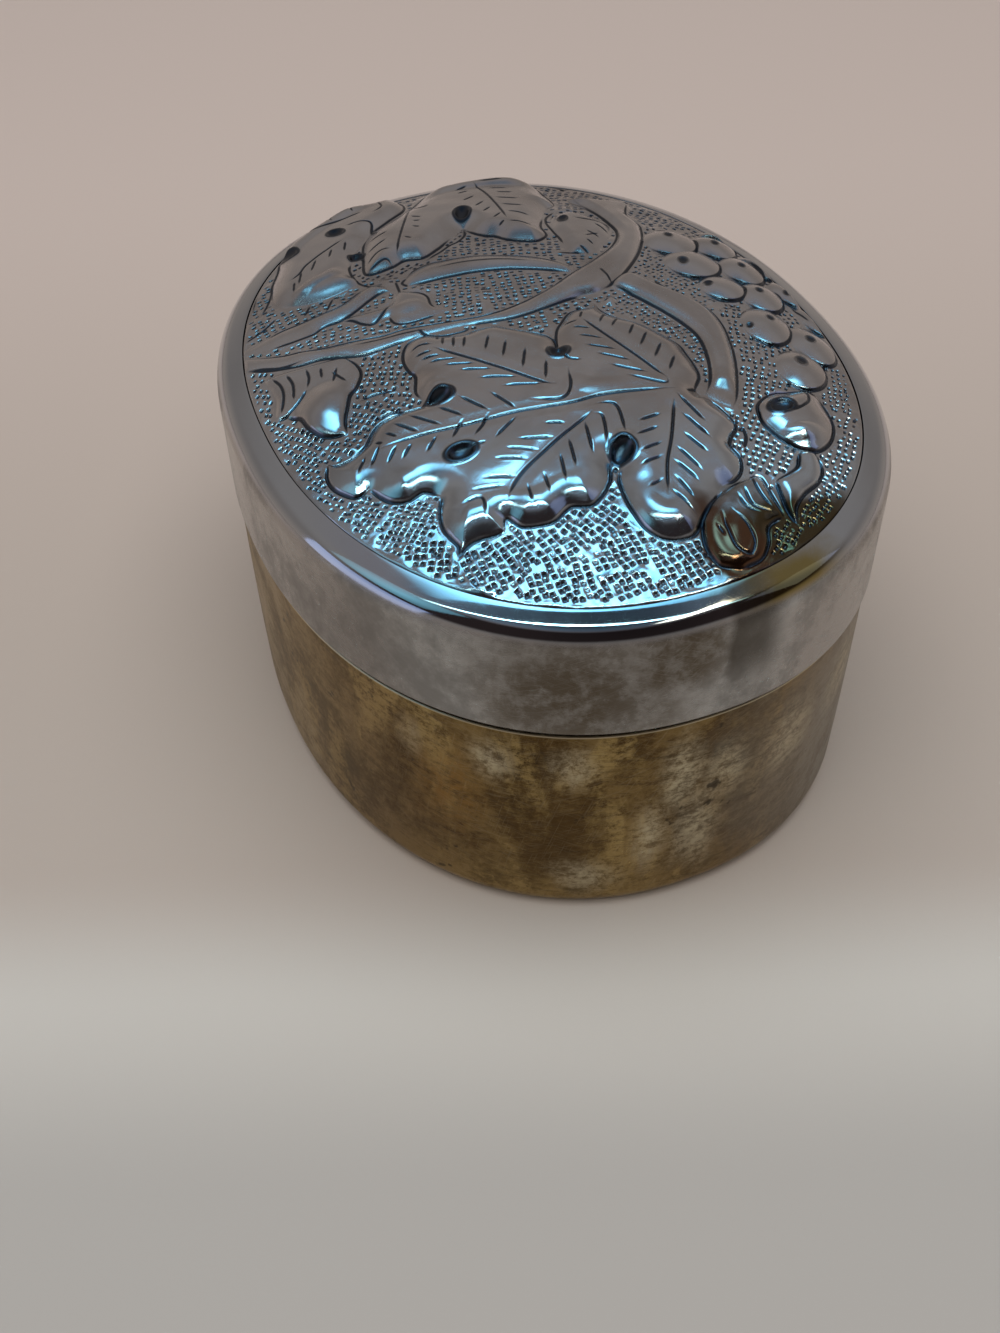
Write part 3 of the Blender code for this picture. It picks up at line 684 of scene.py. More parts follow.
    def grapes(self, sheet: WorkedSheet) -> None:
        """The bunch along the right edge, where each grape lies over the next one down, and its navels."""
        for middle, size, turn, height in (
                ((30.1, 12.2), (3.4, 1.7), -62.0, 0.7), ((27.2, 18.3), (3.2, 1.6), -58.0, 0.7),
                ((23.2, 24.6), (3.2, 1.6), -48.0, 0.75), ((32.3, 6.4), (3.4, 1.5), -70.0, 0.55),
                ((28.8, -5.2), (3.9, 2.9), 92.0, 0.95), ((31.1, 0.4), (4.1, 2.3), 108.0, 0.75),
                ((26.0, 3.1), (4.1, 2.9), 94.0, 1.0), ((26.5, 10.0), (3.5, 2.6), 104.0, 0.95),
                ((25.0, 16.5), (3.8, 2.6), 110.0, 1.0), ((22.3, 22.1), (3.4, 2.6), 118.0, 1.05),
                ((21.9, 10.8), (3.0, 2.8), 100.0, 0.9), ((18.9, 16.4), (3.8, 3.5), 100.0, 1.0),
                ((16.8, 21.9), (3.7, 3.4), 95.0, 1.0)):
            sheet.stamp_dome(middle, size, turn, height, 0.3)
        for navel, radius in (
                ((16.6, 22.5), 0.5), ((17.7, 15.6), 0.55), ((22.4, 22.0), 0.45), ((25.0, 16.5), 0.42),
                ((26.3, 10.4), 0.42), ((26.6, 3.8), 0.42), ((30.9, 0.9), 0.5), ((28.9, -4.5), 0.6),
                ((29.9, 11.7), 0.4), ((24.0, 2.1), 0.35), ((20.2, 10.7), 0.4)):
            sheet.drill(navel, radius, 0.2, 95.0, 1.35, 0.45)
        chase_all(
            sheet, Stroke.FINE, ((29.8, 9.6), (30.9, 7.4), (31.8, 5.4)),
            ((14.9, 25.5), (16.8, 26.0), (19.4, 25.3)), ((33.2, 3.6), (34.0, 0.2), (34.1, -4.0)),
            ((19.4, 10.8), (20.2, 11.3), (20.9, 10.6)))

    def left_half_leaf(self, sheet: WorkedSheet) -> None:
        """The small leaf at the left in front of the main stem, with a bright drop under it."""
        outline = (
            (-31.0, -3.2), (-26.6, -2.6), (-22.3, -2.3), (-20.9, -3.7), (-20.1, -5.6), (-20.4, -7.8),
            (-21.1, -9.2), (-21.3, -11.2), (-21.5, -13.4), (-21.2, -15.5), (-23.7, -15.2),
            (-25.4, -13.8), (-26.6, -11.7), (-28.2, -10.7), (-29.4, -10.4), (-29.6, -7.6), (-30.4, -5.4))
        sheet.raise_region(outline, 0.3, 0.8)
        sheet.puff((-24.0, -11.0), (5.0, 3.4), 80.0, 1.0)
        chase_all(sheet, Stroke.OUTLINE, outline[2:10], outline[9:14])
        chase_all(sheet, Stroke.RIB, ((-30.4, -3.6), (-29.2, -5.4), (-28.7, -7.5), (-28.8, -10.1)),
                  ((-29.3, -11.0), (-28.0, -10.4), (-26.8, -8.7), (-26.1, -7.0)),
                  ((-28.7, -3.6), (-27.8, -5.6), (-27.5, -8.2)))
        chase_all(
            sheet, Stroke.VEIN, ((-26.5, -3.2), (-26.0, -5.1), (-26.1, -6.8)),
            ((-24.8, -3.5), (-24.5, -5.6)), ((-23.5, -4.7), (-21.6, -7.0)),
            ((-22.9, -4.0), (-23.2, -6.8)), ((-20.1, -10.4), (-18.2, -9.7), (-15.9, -9.5)),
            ((-18.0, -14.2), (-16.6, -13.2), (-14.6, -13.4)))

    def left_middle(self, sheet: WorkedSheet) -> None:
        """Ridges and small curls between the main stem and the leaves behind it, on the left."""
        ridge = (
            (-34.0, 3.0), (-31.2, 2.3), (-28.5, 2.8), (-26.1, 3.4), (-24.9, 4.5), (-22.8, 5.2),
            (-21.3, 6.6), (-19.9, 8.4), (-18.7, 9.7), (-17.3, 10.2), (-19.0, 11.8), (-20.6, 11.4),
            (-21.5, 10.3), (-23.2, 8.4), (-25.1, 7.5), (-27.5, 6.4), (-29.9, 5.6), (-31.8, 4.6))
        sheet.raise_region(ridge, 0.55, 1.7)
        curls = (
            (-22.8, 4.9), (-20.4, 3.8), (-19.0, 3.4), (-17.2, 4.4), (-16.4, 2.8), (-14.2, 2.8),
            (-11.8, 3.7), (-10.4, 4.8), (-11.8, 5.4), (-12.5, 6.4), (-13.0, 8.0), (-14.2, 9.0),
            (-16.4, 9.6), (-17.3, 6.9), (-19.6, 6.0), (-21.6, 5.6))
        sheet.raise_region(curls, 0.45, 1.5)
        chase_all(sheet, Stroke.OUTLINE, ridge[1:10], ridge[11:])
        chase_all(
            sheet, Stroke.RIB,
            ((-22.8, 4.9), (-21.6, 4.6), (-20.4, 3.8), (-19.0, 3.4), (-17.8, 5.3), (-17.3, 6.9)),
            ((-17.3, 4.6), (-16.8, 3.2), (-15.9, 2.6), (-14.2, 2.8), (-11.8, 3.7)),
            ((-16.4, 9.4), (-14.2, 9.0), (-13.0, 8.0), (-12.5, 6.0), (-11.8, 5.1)),
            ((-34.4, 5.1), (-32.5, 6.6), (-30.9, 8.7)), ((-16.8, 12.1), (-16.2, 9.5)))
        chase_all(sheet, Stroke.VEIN, ((-27.5, 7.6), (-26.9, 9.9)), ((-24.9, 7.7), (-24.2, 10.6)))
        sheet.puff((-7.0, 5.2), (1.8, 1.2), 20.0, 0.55)
        sheet.puff((8.2, 5.5), (1.3, 0.9), 80.0, 0.5)
        sheet.puff((-15.0, 5.6), (1.9, 1.4), 30.0, 0.25)

    def long_leaf(self, sheet: WorkedSheet) -> None:
        """The long smooth leaf that lies behind the main stem."""
        top = (
            (-15.6, 12.6), (-14.7, 14.3), (-13.0, 15.6), (-10.6, 16.2), (-7.0, 16.8), (-3.0, 16.5),
            (0.6, 15.6), (3.8, 13.8))
        low = ((3.8, 12.1), (-0.8, 13.0), (-4.5, 13.1), (-8.3, 12.6), (-13.0, 11.3), (-15.3, 10.7))
        sheet.raise_region(top + low, 0.5, 2.0)
        chase_all(sheet, Stroke.OUTLINE, top, low, ((-15.3, 10.7), (-16.0, 11.6), (-15.6, 12.6)))
        chase_all(sheet, Stroke.FINE, ((-13.4, 13.2), (-9.0, 14.6), (-4.2, 14.9), (0.4, 14.2)))

    def small_leaf(self, sheet: WorkedSheet) -> None:
        """The little leaf at the right of the rear leaf, inside the main stem's bend."""
        outline = (
            (3.6, 19.6), (3.0, 22.0), (2.4, 25.0), (3.0, 28.4), (5.0, 29.6), (7.6, 27.8), (9.4, 25.4),
            (9.2, 22.4), (8.0, 19.6), (6.8, 17.4), (4.6, 17.2))
        sheet.raise_region(outline, 0.65, 1.7)
        chase_all(
            sheet, Stroke.OUTLINE,
            ((2.8, 29.8), (1.8, 28.0), (1.6, 26.0), (2.3, 23.5), (3.0, 21.5), (3.5, 19.6)))
        chase_all(
            sheet, Stroke.VEIN, ((4.8, 26.8), (9.3, 25.2)), ((7.5, 25.0), (9.3, 22.9)),
            ((6.4, 22.8), (8.0, 20.8)), ((6.1, 21.0), (8.0, 22.0)), ((6.3, 20.0), (7.1, 18.9)),
            ((5.3, 18.3), (6.5, 17.0)), ((2.5, 17.3), (5.8, 17.0)))
        sheet.drill((3.7, 26.3), 0.5, 0.25, 85.0, 1.6)

    def rear_leaf(self, sheet: WorkedSheet) -> None:
        """The leaf with two lobes at the back of the lid."""
        top = (
            (-19.9, 26.9), (-17.8, 29.8), (-16.1, 32.4), (-14.7, 35.0), (-13.0, 37.4), (-10.6, 39.0),
            (-7.8, 40.0), (-5.0, 40.7), (-2.8, 40.7), (-1.0, 40.0), (0.6, 38.6), (1.7, 36.0),
            (2.6, 33.5), (2.8, 32.0), (1.8, 31.0))
        low = (
            (1.2, 27.6), (0.9, 24.6), (1.5, 22.0), (0.3, 20.4), (-1.3, 20.4), (-3.3, 20.9), (-4.8, 22.0),
            (-6.0, 22.3), (-7.5, 23.3), (-8.8, 25.0))
        lobe = (
            (-10.2, 22.4), (-11.8, 19.6), (-13.6, 17.4), (-15.9, 17.1), (-17.6, 15.6), (-20.4, 14.8),
            (-21.0, 18.4), (-21.2, 22.6), (-20.7, 25.2))
        sheet.raise_region(top + low + lobe, 1.3, 3.4)
        sheet.raise_line(((-16.0, 33.6), (-12.6, 36.8), (-8.6, 38.4), (-4.6, 39.0), (-0.6, 38.0),
                          (1.4, 35.0)), 4.0, 0.8)
        chase_all(sheet, Stroke.OUTLINE, top, low, lobe)
        chase_all(
            sheet, Stroke.RIB, ((-7.5, 38.0), (-6.0, 34.3), (-4.8, 30.5), (-4.0, 27.8), (-3.3, 24.9)),
            ((-15.6, 31.2), (-15.9, 28.1), (-16.5, 21.9), (-16.8, 17.7)),
            ((-8.7, 24.8), (-8.6, 22.9), (-9.4, 21.2), (-10.5, 20.2), (-11.6, 18.6), (-13.2, 16.9)))
        chase_all(
            sheet, Stroke.VEIN, ((-9.9, 35.8), (-8.3, 37.0)), ((-9.6, 34.4), (-8.1, 35.4)),
            ((-8.9, 31.6), (-7.3, 33.4)), ((-7.3, 29.3), (-6.1, 31.1)), ((-6.3, 27.4), (-5.3, 29.0)),
            ((-5.0, 25.1), (-4.0, 26.8)), ((-4.3, 23.3), (-3.6, 24.5)), ((-7.0, 38.1), (-3.3, 38.4)),
            ((-5.6, 36.1), (-3.0, 36.0)), ((-4.6, 34.4), (-2.3, 34.1)), ((-4.8, 32.3), (-1.5, 31.6)),
            ((-4.1, 29.8), (-1.0, 29.0)), ((-3.4, 27.3), (-0.3, 26.4)), ((-3.3, 24.3), (0.0, 23.2)),
            ((-15.5, 31.2), (-14.2, 30.5), (-13.0, 31.1)), ((-15.4, 27.7), (-14.0, 27.1)),
            ((-15.1, 26.1), (-14.1, 26.0)), ((-15.1, 24.4), (-14.1, 24.0)),
            ((-16.0, 21.5), (-15.0, 20.8)), ((-19.4, 25.7), (-17.6, 26.9)),
            ((-20.5, 22.6), (-18.0, 23.8)), ((-20.6, 19.5), (-18.0, 21.7)),
            ((-20.5, 16.5), (-19.2, 18.4), (-17.3, 19.0)), ((-20.4, 14.8), (-18.2, 16.8), (-17.3, 15.9)))
        sheet.drill((-8.9, 27.7), 0.85, 0.55, 85.0, 1.6)
        chase_all(
            sheet, Stroke.OUTLINE,
            ((-7.8, 39.4), (-6.0, 40.7), (-3.5, 41.4), (0.0, 40.9), (3.0, 40.0), (5.5, 38.6)))

    def left_rear_leaf(self, sheet: WorkedSheet) -> None:
        """The leaf at the left rear edge, with two ribs."""
        outline = (
            (-31.6, 12.0), (-32.2, 16.0), (-31.8, 20.0), (-31.6, 24.0), (-29.6, 27.8), (-27.2, 31.2),
            (-25.2, 34.2), (-22.0, 36.2), (-18.8, 37.6), (-17.0, 35.8), (-16.6, 33.2), (-18.4, 29.8),
            (-20.5, 26.6), (-21.6, 23.4), (-22.6, 20.0), (-22.4, 15.4), (-21.3, 13.1), (-24.4, 10.8),
            (-28.6, 10.2))
        sheet.raise_region(outline, 1.1, 2.6)
        sheet.raise_line(((-31.6, 20.0), (-30.2, 25.4), (-26.6, 30.8), (-22.6, 34.6), (-19.4, 36.0)),
                         3.8, 0.65)
        chase_all(sheet, Stroke.OUTLINE, outline[:9], outline[8:13])
        chase_all(
            sheet, Stroke.RIB, ((-31.1, 26.0), (-28.0, 28.1), (-24.9, 30.0), (-21.6, 32.4)),
            ((-23.7, 27.9), (-22.3, 28.7), (-20.9, 28.8), (-20.4, 28.1), (-20.5, 26.2)),
            ((-23.7, 23.8), (-25.1, 22.1), (-26.6, 20.2), (-28.0, 18.1), (-28.7, 16.2), (-29.9, 14.8)),
            ((-22.5, 18.3), (-22.6, 16.7), (-22.2, 15.2), (-21.3, 13.1), (-19.9, 11.9), (-17.8, 11.3)))
        chase_all(
            sheet, Stroke.VEIN, ((-26.6, 31.7), (-25.6, 30.1)), ((-24.1, 34.3), (-23.0, 32.3)),
            ((-22.4, 35.5), (-21.7, 34.0)), ((-20.6, 36.3), (-19.4, 33.3), (-20.5, 31.2)),
            ((-18.0, 37.2), (-16.8, 34.2)), ((-23.4, 23.3), (-23.5, 21.0)),
            ((-25.0, 21.4), (-25.2, 19.0)), ((-26.8, 19.3), (-27.2, 16.2)),
            ((-28.4, 16.7), (-28.5, 13.6)), ((-29.1, 14.5), (-29.0, 12.1)),
            ((-33.4, 18.6), (-34.0, 15.0), (-34.2, 11.0)), ((-32.0, 16.2), (-32.3, 12.6), (-33.0, 9.8)))
        sheet.raise_line(((-23.2, 16.5), (-24.7, 14.8), (-26.8, 13.3), (-28.0, 11.9), (-29.4, 10.4)),
                         1.9, 0.28)
        sheet.drill((-21.9, 19.8), 0.8, 0.5)
        sheet.drill((-30.6, 22.6), 1.0, 0.35)
        sheet.drill((-24.9, 26.2), 0.9, 0.35)


# The matting between the vine's pieces


class Punch(Enum):
    """Matting punches: a pit's length and width, step along a row and gap between rows, in mm, and force."""

    SQUARE = (0.70, 0.64, 0.80, 0.78, 1.1)
    SMALL_SQUARE = (0.58, 0.5, 0.72, 0.68, 1.0)
    TICK = (0.74, 0.5, 0.92, 0.74, 1.0)
    SEED = (0.62, 0.46, 0.8, 0.68, 0.95)


@dataclass(frozen=True)
class PunchPatch:
    """A stretch of ground that was matted with one punch and its rows all one way."""

    right: float
    away: float
    turn: float
    punch: Punch = Punch.TICK


PUNCH_PATCHES = (PunchPatch(-24.0, -24.5, -38.0, Punch.SMALL_SQUARE),
                 PunchPatch(-20.0, -28.0, -30.0, Punch.SMALL_SQUARE),
                 PunchPatch(-15.0, -30.5, -24.0, Punch.SMALL_SQUARE),
                 PunchPatch(-12.0, -34.5, -4.0, Punch.SQUARE),
                 PunchPatch(-6.5, -36.5, 26.0, Punch.SQUARE),
                 PunchPatch(-4.0, -34.0, 34.0, Punch.SQUARE), PunchPatch(3.4, -31.8, 46.0, Punch.SQUARE),
                 PunchPatch(0.5, -34.4, 30.0, Punch.SQUARE), PunchPatch(1.0, -38.0, 18.0, Punch.SQUARE),
                 PunchPatch(7.0, -34.8, 22.0, Punch.SQUARE), PunchPatch(7.5, -38.6, 24.0, Punch.SQUARE),
                 PunchPatch(12.0, -36.2, 28.0, Punch.SQUARE),
                 PunchPatch(23.0, -33.0, 62.0, Punch.SMALL_SQUARE),
                 PunchPatch(28.0, -27.0, 58.0, Punch.SMALL_SQUARE), PunchPatch(21.0, -19.5, 66.0),
                 PunchPatch(31.0, -18.0, 70.0), PunchPatch(23.0, -8.5, 78.0),
                 PunchPatch(23.0, -3.0, 88.0), PunchPatch(15.5, -1.5, 28.0, Punch.SEED),
                 PunchPatch(11.5, 3.0, 42.0, Punch.SEED), PunchPatch(15.0, 15.5, 48.0, Punch.SEED),
                 PunchPatch(5.0, 8.5, 30.0), PunchPatch(-3.0, 8.5, 12.0), PunchPatch(-9.0, 8.5, 4.0),
                 PunchPatch(-8.0, 19.0, 2.0), PunchPatch(0.0, 18.0, 4.0), PunchPatch(6.5, 16.0, 10.0),
                 PunchPatch(5.5, 31.5, 0.0), PunchPatch(-16.5, -5.5, 80.0),
                 PunchPatch(-17.5, -16.0, 60.0), PunchPatch(-28.5, -13.0, 50.0),
                 PunchPatch(-31.5, -7.0, 70.0), PunchPatch(-20.0, 2.2, 8.0),
                 PunchPatch(-30.5, 5.0, 20.0), PunchPatch(-29.0, 32.0, 40.0),
                 PunchPatch(-12.0, 21.5, 50.0), PunchPatch(-10.0, 40.5, 5.0),
                 PunchPatch(6.0, 38.5, -12.0), PunchPatch(16.0, 34.0, -25.0),
                 PunchPatch(26.0, 25.0, -45.0), PunchPatch(32.0, 14.0, -70.0),
                 PunchPatch(33.0, -7.0, 85.0, Punch.SEED), PunchPatch(13.5, 20.0, 75.0))


@dataclass
class PunchedMatting:
    """Rows of small oblong pits that a matting punch leaves between the vine's pieces."""

    depth: float = 0.2
    softness: float = 0.31
    scatter: float = 0.09
    smooth_border: float = 0.22
    outermost: float = 0.982
    busiest: float = 0.3
    seed: int = 11

    def places(self, sheet: WorkedSheet, rim: Oval) -> np.ndarray:
        """Where the punch was struck.

        Args:
            sheet: The worked sheet, whose busy parts are kept free.
            rim: The panel's oval, in millimetres, in the box's own directions.

        Returns:
            Rows of u, v, turn in radians, force, length and width, one for each pit.
        """
        draw = np.random.default_rng(self.seed)
        middles = np.array([(patch.right, patch.away) for patch in PUNCH_PATCHES])
        struck = []
        for number, patch in enumerate(PUNCH_PATCHES):
            length, width, step, row, force = patch.punch.value
            reach = np.arange(-18, 19)
            along, across = np.meshgrid(reach * step, reach * row)
            along = (along + draw.normal(0, self.scatter, along.shape)).ravel()
            across = (across + draw.normal(0, self.scatter, across.shape)).ravel()
            c, s = math.cos(math.radians(patch.turn)), math.sin(math.radians(patch.turn))
            right = patch.right + along * c - across * s
            away = patch.away + along * s + across * c
            turn = math.radians(patch.turn) + draw.normal(0, 0.15, along.shape)
            fainter = 1 - 0.3 * ease((away + 20.0) / 26.0)
            force = np.clip(draw.normal(force, 0.26, turn.shape), 0.25, 1.4) * fainter
            gap = np.hypot(right[:, None] - middles[None, :, 0], away[:, None] - middles[None, :, 1])
            own = gap[:, number].copy()
            gap[:, number] = np.inf
            x, y = to_box(right, away)
            across, along = np.abs(x / rim.half_width), np.abs(y / rim.half_length)
            share = (across**rim.power + along**rim.power) ** (1 / rim.power)
            kept = (own + self.smooth_border < gap.min(1)) & (share < self.outermost)
            kept &= sheet.at(sheet.busy, right, away) < self.busiest
            rows = [right, away, turn, force, np.full_like(turn, length), np.full_like(turn, width)]
            struck.append(np.stack(rows, 1)[kept])
        return np.concatenate(struck)

    def tree(self, material: bpy.types.Material) -> bpy.types.NodeTree:
        """The Geometry Nodes tree that sinks a pit into the sheet at each point of a struck set."""
        tree = bpy.data.node_groups.new("punched matting", "GeometryNodeTree")
        face = tree.interface
        for name, kind, value in (
                ("Geometry", "NodeSocketGeometry", None), ("Struck", "NodeSocketObject", None),
                ("Pit depth", "NodeSocketFloat", self.depth * MM),
                ("Softness", "NodeSocketFloat", self.softness), ("Metal", "NodeSocketMaterial", None)):
            socket = face.new_socket(name, in_out="INPUT", socket_type=kind)
            if value is not None:
                socket.default_value = value
        face.new_socket("Geometry", in_out="OUTPUT", socket_type="NodeSocketGeometry")
        nodes, links = tree.nodes, tree.links
        given = nodes.new("NodeGroupInput")

        def maths(operation: str, first: bpy.types.NodeSocket,
                  second: bpy.types.NodeSocket | float) -> bpy.types.NodeSocket:
            """One Math node on two sockets or a socket and a number."""
            node = nodes.new("ShaderNodeMath")
            node.operation = operation
            links.new(first, node.inputs[0])
            if isinstance(second, bpy.types.NodeSocket):
                links.new(second, node.inputs[1])
            else:
                node.inputs[1].default_value = second
            return node.outputs[0]

        def sampled(geometry: bpy.types.NodeSocket, index: bpy.types.NodeSocket, kind: str,
                    value: bpy.types.NodeSocket) -> bpy.types.NodeSocket:
            """The value that the struck set holds at an index."""
            node = nodes.new("GeometryNodeSampleIndex")
            node.data_type = kind
            links.new(geometry, node.inputs["Geometry"])
            links.new(index, node.inputs["Index"])
            links.new(value, node.inputs["Value"])
            return node.outputs[0]

        def named(name: str) -> bpy.types.NodeSocket:
            """A stored number of each point."""
            node = nodes.new("GeometryNodeInputNamedAttribute")
            node.data_type = "FLOAT"
            node.inputs["Name"].default_value = name
            return node.outputs["Attribute"]

        place = nodes.new("GeometryNodeInputPosition").outputs[0]
        flat = nodes.new("ShaderNodeVectorMath")
        flat.operation = "MULTIPLY"
        flat.inputs[1].default_value = (1, 1, 0)
        links.new(place, flat.inputs[0])
        struck = nodes.new("GeometryNodeObjectInfo")
        links.new(given.outputs["Struck"], struck.inputs["Object"])
        nearest = nodes.new("GeometryNodeSampleNearest")
        links.new(struck.outputs["Geometry"], nearest.inputs["Geometry"])
        links.new(flat.outputs[0], nearest.inputs["Sample Position"])
        index = nearest.outputs["Index"]
        middle = sampled(struck.outputs["Geometry"], index, "FLOAT_VECTOR", place)
        turn = sampled(struck.outputs["Geometry"], index, "FLOAT", named("turn"))
        force = sampled(struck.outputs["Geometry"], index, "FLOAT", named("force"))
        offset = nodes.new("ShaderNodeVectorMath")
        offset.operation = "SUBTRACT"
        links.new(flat.outputs[0], offset.inputs[0])
        links.new(middle, offset.inputs[1])
        turned = nodes.new("ShaderNodeVectorRotate")
        turned.rotation_type = "Z_AXIS"
        links.new(offset.outputs[0], turned.inputs["Vector"])
        links.new(maths("MULTIPLY", turn, -1.0), turned.inputs["Angle"])
        parts = nodes.new("ShaderNodeSeparateXYZ")
        links.new(turned.outputs[0], parts.inputs[0])
        length = sampled(struck.outputs["Geometry"], index, "FLOAT", named("length"))
        width = sampled(struck.outputs["Geometry"], index, "FLOAT", named("width"))
        along = maths("DIVIDE", maths("ABSOLUTE", parts.outputs[0], 0.0), length)
        across = maths("DIVIDE", maths("ABSOLUTE", parts.outputs[1], 0.0), width)
        corner = nodes.new("ShaderNodeMath")
        corner.operation = "SMOOTH_MAX"
        corner.inputs[2].default_value = 0.15
        links.new(along, corner.inputs[0])
        links.new(across, corner.inputs[1])
        wall = nodes.new("ShaderNodeMapRange")
        wall.interpolation_type = "SMOOTHSTEP"
        links.new(corner.outputs[0], wall.inputs["Value"])
        links.new(maths("ADD", maths("MULTIPLY", given.outputs["Softness"], -1.0), 0.5),
                  wall.inputs["From Min"])
        wall.inputs["From Max"].default_value = 0.5
        wall.inputs["To Min"].default_value = 1.0
        wall.inputs["To Max"].default_value = 0.0
        struck_share = maths("MULTIPLY", wall.outputs[0], force)
        sunk = maths("MULTIPLY", maths("MULTIPLY", struck_share, given.outputs["Pit depth"]), -1.0)
        drop = nodes.new("ShaderNodeCombineXYZ")
        links.new(sunk, drop.inputs["Z"])
        moved = nodes.new("GeometryNodeSetPosition")
        links.new(given.outputs["Geometry"], moved.inputs["Geometry"])
        links.new(drop.outputs[0], moved.inputs["Offset"])
        kept = nodes.new("GeometryNodeStoreNamedAttribute")
        kept.data_type = "FLOAT"
        kept.domain = "POINT"
        kept.inputs["Name"].default_value = "recess"
        links.new(moved.outputs[0], kept.inputs["Geometry"])
        held = named("recess")
        darkest = maths("MINIMUM", maths("MULTIPLY", force, 0.75), 0.72)
        links.new(maths("MAXIMUM", held, maths("MULTIPLY", wall.outputs[0], darkest)),
                  kept.inputs["Value"])
        realized = nodes.new("GeometryNodeRealizeInstances")
        links.new(kept.outputs[0], realized.inputs[0])
        dressed = nodes.new("GeometryNodeSetMaterial")
        links.new(realized.outputs[0], dressed.inputs["Geometry"])
        links.new(given.outputs["Metal"], dressed.inputs["Material"])
        links.new(dressed.outputs[0], nodes.new("NodeGroupOutput").inputs[0])
        return tree


# The camera's turn round the box, which the drawing's u and the studio's lamps follow
CAMERA_TURN = math.radians(-20.7)


def to_box(right: np.ndarray, away: np.ndarray) -> tuple[np.ndarray, np.ndarray]:
    """X and Y in the box's directions of places on the drawing, whose u runs to the camera's right."""
    c, s = math.cos(CAMERA_TURN), math.sin(CAMERA_TURN)
    return right * c - away * s, right * s + away * c


def to_drawing(x: np.ndarray, y: np.ndarray) -> tuple[np.ndarray, np.ndarray]:
    """Places on the drawing of X and Y in the box's directions."""
    c, s = math.cos(CAMERA_TURN), math.sin(CAMERA_TURN)
    return x * c + y * s, y * c - x * s


